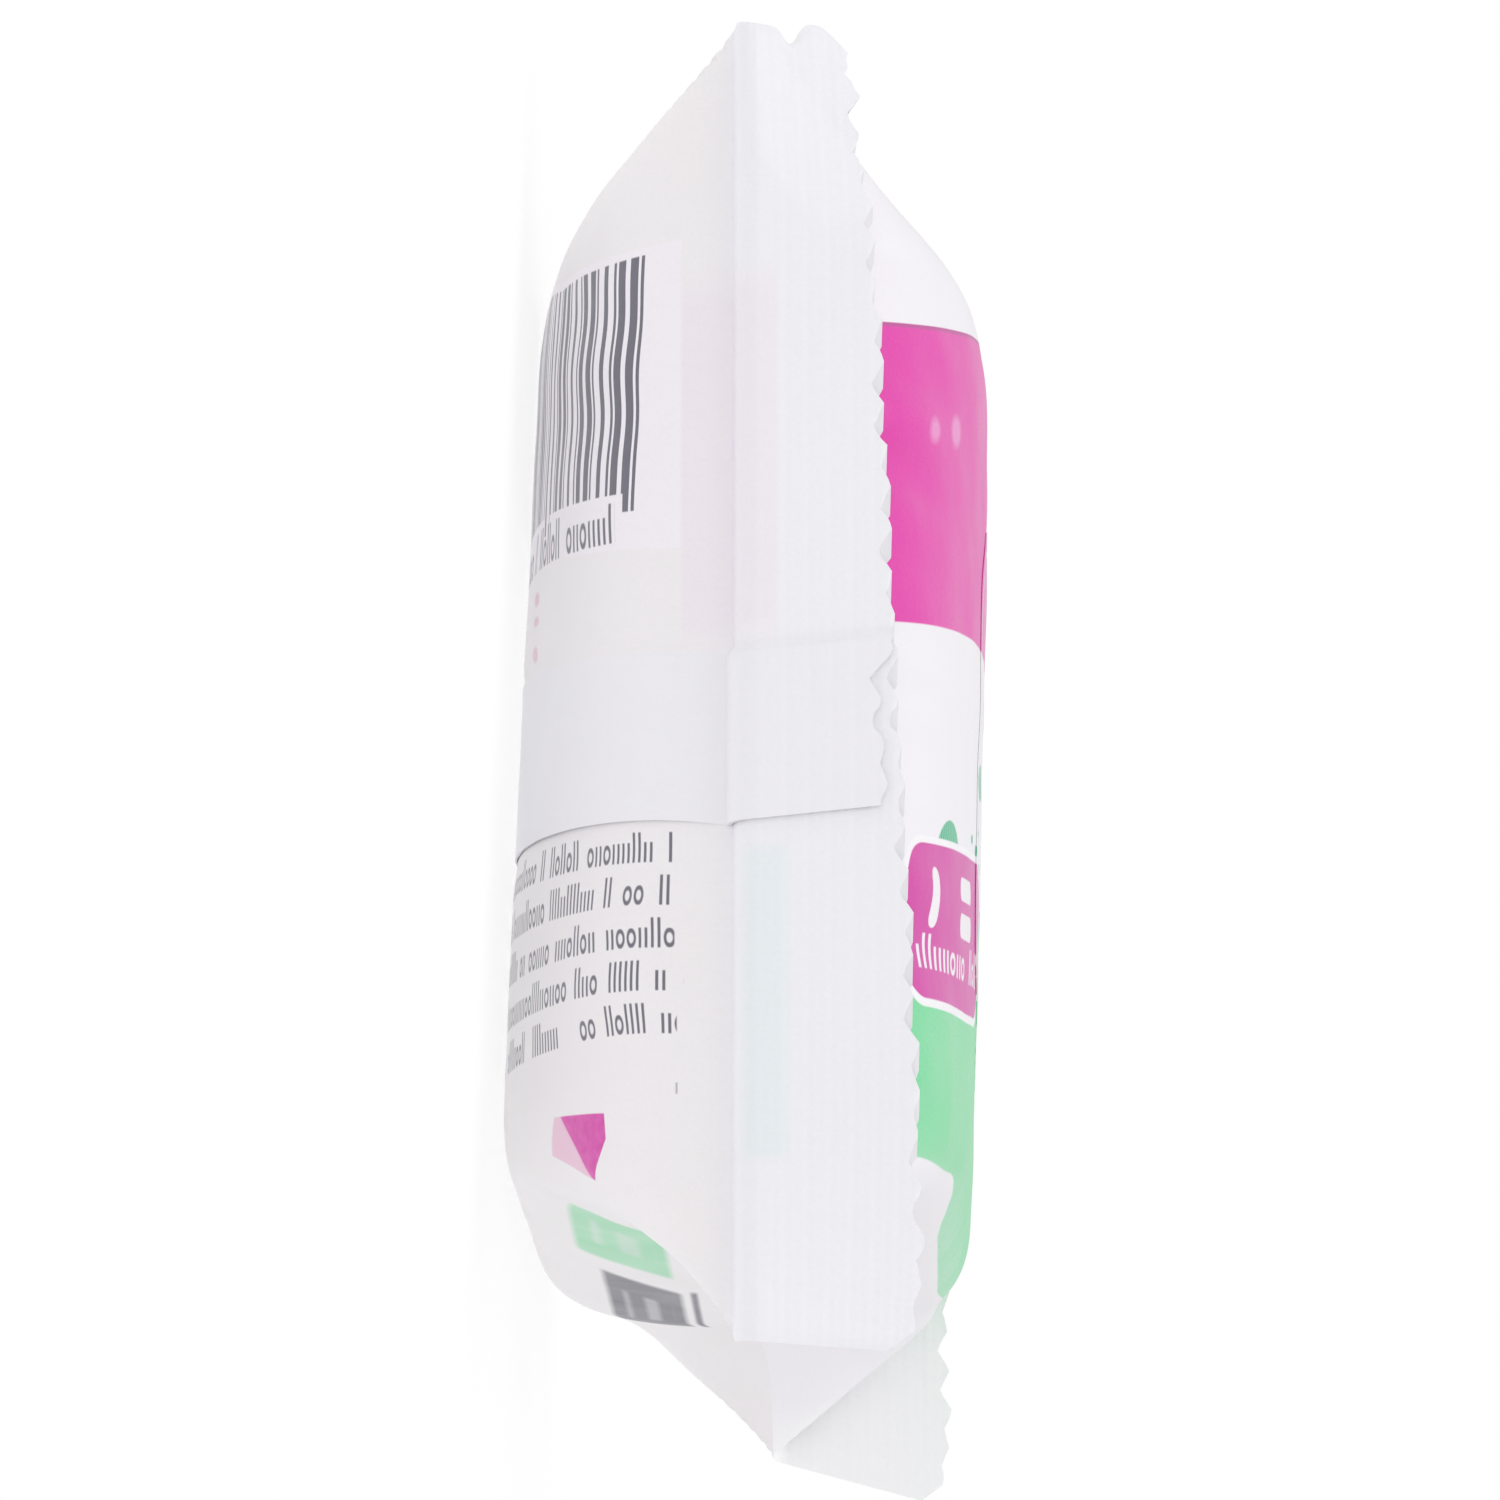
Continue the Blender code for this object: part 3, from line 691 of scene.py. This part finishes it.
    def finish(self, colour, roughness, inked=None, crinkle=0.35):
        """Joins the colour, an uneven roughness and the film's fine crinkles to the shader."""
        self.put(self.shader.inputs["Base Color"], colour)
        self.shader.inputs["Specular IOR Level"].default_value = 0.32
        cloud = self.noise(self.u, self.v, 7.0, 9.0, 3.0, 5.0)
        rough = self.line(cloud, 0.22, roughness - 0.11)
        if inked is not None:
            rough = self.sub(rough, self.mul(inked, 0.07))
        self.put(self.shader.inputs["Roughness"], rough)
        bump = self.new("Bump")
        bump.inputs["Strength"].default_value = crinkle
        bump.inputs["Distance"].default_value = 0.00022
        self.put(bump.inputs["Height"], self.crinkles())
        self.put(self.shader.inputs["Normal"], bump.outputs[0])
        return self.material


# Print colours
MAGENTA, MAGENTA_EDGE, BADGE = srgb(230, 68, 176), srgb(196, 86, 158), srgb(216, 68, 170)
GREEN, GREEN_FOOT = srgb(128, 222, 164), srgb(158, 228, 186)
LEAF, LEAF_STRIPE = srgb(70, 176, 134), srgb(140, 214, 182)
INK_GREY, PLAIN = srgb(92, 90, 104), srgb(247, 243, 248)

# Places on the front in film millimetres: across from the middle, and along from the near seal's line
ASKEW, ASKEW_START, ASKEW_END, ASKEW_SOFT = 0.12, 15.0, 35.0, 38.0
PRINT_START, PRINT_END = -4.0, 136.0
MAGENTA_TOP, MAGENTA_FOOT, MAGENTA_MIDDLE, MAGENTA_END, MAGENTA_BOW = -27.2, -5.4, -13.6, 104.0, 17.0
GREEN_TOP, GREEN_LOW, GREEN_LOWEST = 14.0, 33.3, 36.6
BADGE_BOX, BADGE_CORNER, BADGE_RIM = (10.5, 21.8, 10.5, 44.6), 5.2, 0.5
SPOTS = ((-19.7, 17.0, 0.85), (-19.9, 23.2, 1.1), (-14.5, 63.0, 2.4), (-20.5, 78.0, 1.7), (-11.0, 92.0, 2.0))
DROPS = ((4.4, 42.0, 1.35), (9.0, 35.0, 0.35), (9.6, 38.5, 0.45), (8.2, 40.5, 0.3), (10.8, 42.5, 0.5),
         (6.5, 58.0, 1.0), (8.8, 66.0, 1.9), (5.0, 74.0, 0.8), (9.5, 84.0, 1.2), (6.0, 97.0, 1.7))


def green_field(ink, level):
    """Along the +X side, with a wavy upper edge and a lower edge that drops. Returns its colour and mask."""
    upper = ink.add(GREEN_TOP, ink.mul(ink.math("SINE", ink.mul(ink.v, 0.075)), 1.6))
    lower = ink.ramp(ink.v, 36.0, 70.0, GREEN_LOW, GREEN_LOWEST, "SMOOTHSTEP")
    mask = ink.both(ink.less(upper, level), ink.less(level, lower), ink.span(ink.v, PRINT_START, PRINT_END))
    return ink.paint(GREEN, GREEN_FOOT, ink.less(34.0, level, 3.0)), mask


def magenta_field(ink, level):
    """Along the -X side, with a bowed lower edge and a round end. The masks of field and edge line."""
    bow = ink.sub(ink.v, ASKEW_START)
    foot = ink.line(ink.mul(bow, bow), 0.0006, MAGENTA_FOOT)
    off = ink.mul(ink.sub(level, MAGENTA_MIDDLE), 1 / MAGENTA_MIDDLE)
    arch = ink.math("SQRT", ink.most(ink.sub(1.0, ink.mul(off, off)), 0.0))
    end = ink.line(arch, MAGENTA_BOW, MAGENTA_END)
    field = ink.both(ink.less(MAGENTA_TOP, level), ink.less(level, foot), ink.less(PRINT_START, ink.v),
                     ink.less(ink.v, end, 0.2))
    edge = ink.both(ink.span(level, MAGENTA_TOP - 0.15, MAGENTA_TOP + 0.15, 0.1),
                    ink.span(ink.v, PRINT_START, MAGENTA_END))
    return field, edge


def drops_and_leaf(ink, level):
    """Droplets between the two fields and a leaf over the badge, all finely striped. Colour and mask."""
    drops = [ink.ellipse(level, ink.v, at_u, at_v, size, size * 1.9, 0.15) for at_u, at_v, size in DROPS]
    leaf = ink.ellipse(level, ink.v, 10.8, 22.6, 2.3, 3.5)
    stripes = ink.math("PINGPONG", ink.mul(ink.v, 1.6), 0.5)
    return ink.paint(LEAF, LEAF_STRIPE, ink.mul(stripes, 1.5)), ink.most(*drops, leaf)


def add_badge(ink, level, colour):
    """A rounded field with a white outline, plain bars for figures and a greeked line. Colour and mask."""
    u0, u1, v0, v1 = BADGE_BOX
    outline = ink.box(level, ink.v, u0 - BADGE_RIM, u1 + 0.6, v0 - BADGE_RIM, v1 + 0.8, BADGE_CORNER + 0.4)
    colour = ink.paint(colour, srgb(250, 248, 251), outline)
    badge = ink.box(level, ink.v, u0, u1, v0, v1, BADGE_CORNER)
    colour = ink.paint(colour, BADGE, badge)
    marks = ink.most(ink.box(level, ink.v, 12.2, 16.6, 16.6, 18.6, 0.9),
                     ink.box(level, ink.v, 12.2, 13.9, 27.5, 34.5, 0.8),
                     ink.box(level, ink.v, 14.8, 16.6, 27.5, 34.5, 0.8),
                     ink.greek(level, ink.v, 19.6, 9.0, 1, 1.7, 13.0, 42.0, 2.6))
    return ink.paint(colour, PLAIN, marks), badge


def add_label_marks(ink, colour, start, end):
    """The label's pale rim, and the ribs of its tab."""
    rim = ink.sub(ink.box(ink.u, ink.v, -16.6, 16.6, start + 1.4, end - 1.4, 7.6, 0.15),
                  ink.box(ink.u, ink.v, -16.2, 16.2, start + 1.8, end - 1.8, 7.2, 0.15))
    tab = ink.both(ink.less(ink.math("PINGPONG", ink.v, 0.6), 0.3, 0.12), ink.span(ink.u, -5.0, 5.0),
                   ink.span(ink.v, end + 0.8, end + 5.2))
    colour = ink.paint(colour, srgb(206, 226, 216), ink.mul(rim, 0.85))
    return ink.paint(colour, srgb(176, 208, 192), ink.mul(tab, 0.9))


def front_print(label=None):
    """The front's print, and painted light: a brighter white over the far seal. The label is clear and
    carries the same print, with a rim and a ribbed tab.
    """
    ink = Ink("flap_film" if label else "front_print")
    # The print runs a little askew near the end seal
    run = ink.math("SMOOTH_MIN", ink.sub(ink.v, ASKEW_START), ASKEW_END, ASKEW_SOFT)
    level = ink.add(ink.u, ink.mul(run, ASKEW))
    cloud = ink.noise(ink.u, ink.v, 14.0, 18.0, 2.0, 7.0)
    colour = ink.paint(srgb(244, 243, 248), srgb(245, 241, 245), cloud)
    # Near and over the far seal the front film is a plain neutral white, painted brighter than the body's:
    # the neutral tone is the film's own, the extra brightness is painted light
    colour = ink.paint(colour, srgb(249, 249, 250), ink.less(138.0, ink.v, 6.0))
    tone, green = green_field(ink, level)
    field, edge = magenta_field(ink, level)
    colour = ink.paint(colour, tone, green)
    colour = ink.paint(colour, MAGENTA, field)
    colour = ink.paint(colour, MAGENTA_EDGE, edge)
    for at_u, at_v, size in SPOTS:
        spot = ink.ellipse(level, ink.v, at_u, at_v, size, size * 1.3, 0.7)
        colour = ink.paint(colour, srgb(240, 160, 214), ink.mul(spot, 0.75))
    colour = ink.paint(colour, *drops_and_leaf(ink, level))
    colour, badge = add_badge(ink, level, colour)
    inked = ink.most(green, field, badge)
    if label:
        colour = add_label_marks(ink, colour, *label)
    colour = ink.paint(ink.grain(colour, 0.02, 0.3), ink.grain(colour, 0.10, 0.24), inked)
    return ink.finish(colour, 0.28 if label else 0.37, inked, 0.25 if label else 0.35)


# Places on the back, in the same millimetres
CODE_START, CODE_TOP, CODE_FOOT, CODE_FAN, CODE_FAN_REACH = 7.0, -31.6, -13.75, 0.14, 16.0
CODE_MODULE, CODE_BARS, CODE_LEAN = 0.3, 30, 0.048
TEXT_FIRST, TEXT_PITCH, TEXT_LINES = 14.06, 3.18, 5


def bar_code(ink):
    """A bar code of made-up widths, which fans out a little over the slope. Its white patch and bars."""
    run = ink.sub(ink.v, CODE_START)
    top = ink.add(CODE_TOP, ink.mul(ink.math("MINIMUM", run, CODE_FAN_REACH), CODE_FAN))
    foot = ink.line(run, 0.05, CODE_FOOT)
    patch = ink.both(ink.less(ink.sub(top, 0.6), ink.u), ink.less(ink.u, -9.4), ink.span(ink.v, 3.7, 42.0))
    place = ink.sub(run, ink.mul(ink.sub(ink.u, CODE_TOP), CODE_LEAN))
    first, reach = ink.bars(place, 0, CODE_BARS, CODE_MODULE)
    second, more = ink.bars(ink.sub(place, reach + CODE_MODULE), 2, CODE_BARS, CODE_MODULE)
    guard = ink.most(ink.less(place, 1.3, 0.05), ink.span(place, reach - 1.0, reach + 1.0, 0.05),
                     ink.less(reach + more - 1.0, place, 0.05))
    end = ink.line(guard, 1.4, foot)
    return patch, ink.both(ink.most(first, second), ink.less(top, ink.u), ink.less(ink.u, end))


def back_text(ink):
    """Greeked digits under the bar code, greeked lines of text and a short stroke."""
    digits = ink.greek(ink.sub(ink.u, ink.mul(ink.v, 0.05)), ink.v, -10.5, 9.0, 1, 2.0, 9.2, 38.0, 1.6)
    text = ink.greek(ink.u, ink.v, TEXT_FIRST, TEXT_PITCH, TEXT_LINES, 1.5, 3.3, 46.0, 1.2)
    stroke = ink.mul(ink.box(ink.u, ink.v, 30.4, 31.2, 3.85, 4.0), 0.6)
    return ink.most(digits, text), stroke


def folded_corner(ink):
    """Magenta corner at the fold, with a paler strip where the film turns over. Colour and mask."""
    u, v = ink.u, ink.v
    mask = ink.both(ink.less(ink.line(v, -0.087, 33.4), u),
                    ink.less(ink.most(11.2, ink.line(u, 0.79, -15.9)), v),
                    ink.less(v, ink.line(u, 0.68, -2.4), 0.3), ink.less(v, ink.line(u, -2.59, 109.5), 0.3))
    turned = ink.less(v, ink.line(u, -0.82, 44.1), 0.3)
    deep = ink.paint(srgb(206, 48, 160), srgb(226, 110, 188), ink.noise(u, v, 0.7, 0.9, 2.0, 6.0))
    return ink.paint(srgb(236, 200, 220), deep, turned), mask


def leaning(ink, u0, u1, start, near_lean, finish, far_lean, edge=0.5):
    """1 in a box across u0 to u1 whose ends lean: they lie at start and finish plus the lean times u."""
    return ink.both(ink.span(ink.u, u0, u1, edge), ink.less(ink.line(ink.u, near_lean, start), ink.v, 2.0),
                    ink.less(ink.v, ink.line(ink.u, far_lean, finish), 2.0))


def add_side_fields(ink, colour):
    """Green and dark fields with pale stripes for words, and a rule beside them. Colour and mask."""

    def field(box, tone, first, pitch, share, stripe_box, stripe_tone):
        stripes = ink.less(ink.math("PINGPONG", ink.sub(ink.u, first), pitch / 2), *share)
        pale = ink.mul(ink.mul(stripes, leaning(ink, *stripe_box, 0.4)), 0.8)
        mask = leaning(ink, *box)
        return ink.paint(colour, ink.paint(tone, stripe_tone, pale), mask), mask

    colour, green = field((37.9, 44.1, -84.5, 3.0, -13.0, 2.0), srgb(146, 218, 174), 39.1, 2.5, (0.7, 0.5),
                          (39.2, 43.3, -76.0, 3.0, -22.0, 2.0), srgb(192, 222, 204))
    colour, dark = field((39.2, 44.5, -4.0, 2.0, 112.0, 0.0), srgb(84, 82, 98), 40.2, 2.0, (0.45, 0.4),
                         (40.3, 43.6, 6.0, 2.0, 106.0, 0.0), srgb(176, 176, 186))
    rule = ink.both(ink.span(ink.u, 45.2, 45.7, 0.3), ink.span(ink.v, 84.0, 112.0, 2.0))
    return ink.paint(colour, srgb(112, 110, 124), rule), ink.most(green, dark)


def back_print():
    """The back's print: bar code, greeked text, and the side's fields."""
    ink = Ink("back_print")
    u, v = ink.u, ink.v
    colour = ink.paint(srgb(241, 237, 239), srgb(240, 239, 244), ink.less(v, 0.5, 2.0))
    colour = ink.paint(colour, srgb(243, 242, 246), ink.mul(ink.noise(u, v, 11.0, 14.0, 2.0, 4.0), 0.5))
    # The front's print shows through the doubled film at the near seal, as faint tints
    pink = ink.both(ink.span(u, -29.0, -3.0, 3.0), ink.span(v, -3.6, 3.6, 0.5))
    colour = ink.paint(colour, srgb(240, 229, 239), ink.mul(pink, 0.55))
    mint = ink.both(ink.span(u, 13.0, 35.5, 1.0), ink.span(v, -4.2, -1.4, 1.0))
    colour = ink.paint(colour, srgb(228, 237, 240), ink.mul(mint, 0.65))
    patch, bars = bar_code(ink)
    colour = ink.paint(colour, srgb(244, 240, 246), patch)
    text, stroke = back_text(ink)
    dark = ink.most(bars, text, stroke)
    colour = ink.paint(colour, INK_GREY, ink.mul(dark, 0.92))
    colour = ink.paint(colour, *folded_corner(ink))
    for at_u, size in ((-7.0, 0.5), (-5.4, 0.35), (-3.0, 0.55), (-0.6, 0.4)):
        dot = ink.ellipse(u, v, at_u, 29.5, size, 1.2, 0.3)
        colour = ink.paint(colour, srgb(226, 168, 196), ink.mul(dot, 0.6))
    colour, fields = add_side_fields(ink, colour)
    return ink.finish(ink.grain(colour, 0.02, 0.3), 0.40, ink.most(dark, fields), 0.42)


def plain_film(name, colour, other, roughness):
    """Bare film in two tones that blend into each other."""
    ink = Ink(name)
    return ink.finish(ink.grain(ink.paint(colour, other, ink.noise(ink.u, ink.v, 9.0, 12.0)), 0.015, 0.3),
                      roughness)


film = film_piece()
for material in (front_print(), back_print(),
                 plain_film("fin_film", srgb(241, 239, 243), srgb(238, 237, 242), 0.38),
                 plain_film("inner_film", srgb(232, 230, 234), srgb(226, 225, 230), 0.5)):
    film.data.materials.append(material)
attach(film, "root")
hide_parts("wipes_pack")


# The label's sizes in metres. It is thinner here and lies closer than in the solid part.
FLAP_LENGTH, FLAP_WIDTH, FLAP_CORNER, FLAP_THICKNESS = 0.066, 0.036, 0.009, 0.00005
FLAP_CENTRE, TAB_LENGTH, TAB_WIDTH, FLAP_REST = 0.066, 0.007, 0.016, 0.00002
FLAP_ROWS, FLAP_COLUMNS = 90, 40


def flap_half_width(distance):
    """Half the label's width at a distance from its near end, with round corners and a finger tab."""
    half = FLAP_WIDTH / 2
    inset = min(distance, FLAP_LENGTH - distance)
    if inset < FLAP_CORNER:
        half -= FLAP_CORNER - math.sqrt(FLAP_CORNER**2 - (FLAP_CORNER - max(inset, 0.0)) ** 2)
    if distance <= FLAP_LENGTH - FLAP_CORNER:
        return half
    beyond = max(0.0, distance - (FLAP_LENGTH + TAB_LENGTH - TAB_WIDTH / 2))
    tab = math.sqrt(max(0.0, (TAB_WIDTH / 2) ** 2 - beyond**2))
    return max(tab, half if distance < FLAP_LENGTH else 0.0)


def flap_piece():
    """The resealable label, stuck on the front and following it."""
    total, across = FLAP_LENGTH + TAB_LENGTH, FLAP_COLUMNS
    turn = np.linspace(0, math.pi, FLAP_ROWS)
    # The rows lie closer together towards both ends, where the outline curves most
    spots = total * (0.0015 + 0.997 * (0.5 - 0.5 * np.cos(turn)) * 0.35 + 0.997 * 0.65 * turn / math.pi)
    sheets, flats = [], []
    dense, length = film_length()
    for lift in (FLAP_REST, FLAP_REST + FLAP_THICKNESS):
        for spot in spots:
            along = FLAP_CENTRE - FLAP_LENGTH / 2 + spot
            position = flap_half_width(spot) * np.linspace(-1, 1, across + 1)
            x, z, out_x, out_z = Section(along).points(position, True)
            offset = gather(position, along, True) + film_relief(position, along, True) + lift
            sheets.append(np.stack([x + out_x * offset, np.full_like(x, along), z + out_z * offset], 1))
            place = np.full_like(x, np.interp(along, dense, length))
            flats.append(np.stack([position * 10 + 0.5, place * 10], 1))
    flat = np.concatenate(flats)
    count, width = len(spots), across + 1

    def at(sheet, row, column):
        return (sheet * count + row) * width + column

    def wall(*ends):
        return [at(0, *ends[:2]), at(0, *ends[2:]), at(1, *ends[2:]), at(1, *ends[:2])]

    faces = []
    for row in range(count - 1):
        for column in range(across):
            for sheet in (0, 1):
                faces.append([at(sheet, row, column), at(sheet, row, column + 1),
                              at(sheet, row + 1, column + 1), at(sheet, row + 1, column)])
        faces += [wall(row, column, row + 1, column) for column in (0, across)]
    for row in (0, count - 1):
        faces += [wall(row, column, row, column + 1) for column in range(across)]
    mesh = bpy.data.meshes.new("flap")
    mesh.from_pydata((np.concatenate(sheets) - MIDDLE_POINT).tolist(), [], faces)
    turn_outward(mesh)
    add_film_map(mesh, *flat[corner_vertices(mesh)].T)
    return finished("flap_label", mesh, 50)


FLAP_ENDS = [1000 * float(np.interp(FLAP_CENTRE + side * FLAP_LENGTH / 2, *film_length()))
             for side in (-1, 1)]  # in film millimetres
flap = flap_piece()
flap.data.materials.append(front_print(FLAP_ENDS))
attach(flap, "root")
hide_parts("reseal_flap")


# Camera, floor and light
PHOTO_SIZE = 1500  # pixels a side
SEAL_IN_PHOTO = (743, 677)  # the near seal's middle
SEAL_LINE_HEIGHT = 0.0168
DISTANCE, SCALE = 0.680, 14460.0  # from the near seal, and photo pixels per metre there
THETA, PHI, ROLL = math.radians(7.6), math.radians(1.4), math.radians(-2.4)
SENSOR = 36.0  # millimetres
WORLD_LIGHT, OVERHEAD, UNDER_TABLE, LAMP_SIZE, LAMP_AWAY = 0.74, 8.2, 11.0, 1.5, 1.5
TABLE_WHITE, SHEET_SHARE = (0.96, 0.96, 0.96, 1), 0.5
SHADE_REACH, WHITE_REACH, NEAR_WHITE = 0.07, 0.25, 0.66  # metres off, and the share of plain white near


def view_directions():
    """The photograph's right, down and inward directions."""
    toward = Vector((-math.sin(THETA), math.cos(THETA) * math.cos(PHI), -math.sin(PHI))).normalized()
    right = (Vector((0, 0, 1)) - toward * toward.z).normalized()
    down = toward.cross(right)
    if down.x < 0:
        down = -down
    return (right * math.cos(ROLL) + down * math.sin(ROLL),
            down * math.cos(ROLL) - right * math.sin(ROLL), toward)


right, down, toward = view_directions()


def add_camera():
    seal = Vector((-MIDDLE[0], -MIDDLE[1], SEAL_LINE_HEIGHT))
    across, below = ((place - PHOTO_SIZE / 2) / SCALE for place in SEAL_IN_PHOTO)
    place = seal - toward * DISTANCE - right * across - down * below
    data = bpy.data.cameras.new("camera")
    data.sensor_width = SENSOR
    data.lens = SENSOR * SCALE * DISTANCE / PHOTO_SIZE
    data.clip_start, data.clip_end = 0.05, 40.0
    camera = bpy.data.objects.new("camera", data)
    rows = [[right[k], -down[k], -toward[k], place[k]] for k in range(3)]
    camera.matrix_world = Matrix(rows + [[0, 0, 0, 1]])
    bpy.context.scene.collection.objects.link(camera)
    bpy.context.scene.camera = camera


def table_material():
    """A pale translucent sheet, as on a light table: soft light comes up through it to the underside."""
    material = bpy.data.materials.new("floor")
    material.use_nodes = True
    made = Nodes(material.node_tree)
    tree = made.tree
    shader = tree.nodes["Principled BSDF"]
    shader.inputs["Base Color"].default_value = TABLE_WHITE
    shader.inputs["Roughness"].default_value = 0.9
    shader.inputs["Specular IOR Level"].default_value = 0.1
    through = made.new("BsdfTranslucent")
    through.inputs["Color"].default_value = TABLE_WHITE
    sheet = made.mixed(SHEET_SHARE, shader.outputs[0], through.outputs[0])
    # The table's own shading shows near the pack, and fades into plain white further off
    spot = made.new("TexCoord")
    away = made.new("VectorMath")
    away.operation = "LENGTH"
    made.put(away.inputs[0], spot.outputs["Object"])
    white = made.ramp(away.outputs["Value"], SHADE_REACH, WHITE_REACH, NEAR_WHITE, 1.0)
    rays = made.seen("Is Camera Ray", "Is Glossy Ray", "Is Transmission Ray")
    share = made.math("MULTIPLY", rays, white)
    surface = made.mixed(share, sheet, made.white("Emission"))
    made.put(tree.nodes["Material Output"].inputs[0], surface)
    return material


def add_world():
    """Even light all round, seen by the camera as plain white."""
    world = bpy.data.worlds.new("studio")
    bpy.context.scene.world = world
    world.use_nodes = True
    made = Nodes(world.node_tree)
    back = made.tree.nodes["Background"]
    back.inputs["Color"].default_value = (1, 1, 1, 1)
    back.inputs["Strength"].default_value = WORLD_LIGHT
    surface = made.mixed(made.seen("Is Camera Ray"), back.outputs[0], made.white("Background"))
    made.put(made.tree.nodes["World Output"].inputs[0], surface)


def soft_lamp(name, direction, energy):
    """A square lamp that shines on the pack along a direction: (right, down, inward) in the photograph."""
    line = (right * direction[0] + down * direction[1] + toward * direction[2]).normalized()
    data = bpy.data.lights.new(name, "AREA")
    data.shape, data.size, data.energy = "SQUARE", LAMP_SIZE, energy
    lamp = bpy.data.objects.new(name, data)
    lamp.location = Vector((0, 0, 0.017)) - line * LAMP_AWAY
    lamp.rotation_euler = line.to_track_quat("-Z", "Y").to_euler()
    bpy.context.scene.collection.objects.link(lamp)


add_camera()
floor_mesh = bpy.data.meshes.new("floor")
floor_mesh.from_pydata([(-6, -3, 0), (6, -3, 0), (6, 14, 0), (-6, 14, 0)], [], [(0, 1, 2, 3)])
floor_mesh.materials.append(table_material())
floor = bpy.data.objects.new("floor", floor_mesh)
floor.location = (0, 0, -0.0002)
bpy.context.scene.collection.objects.link(floor)
add_world()
soft_lamp("overhead", (-0.95, 0.10, 0.30), OVERHEAD)
soft_lamp("under_table", (1.0, 0.0, 0.0), UNDER_TABLE)

bpy.context.scene.view_settings.view_transform = "Standard"
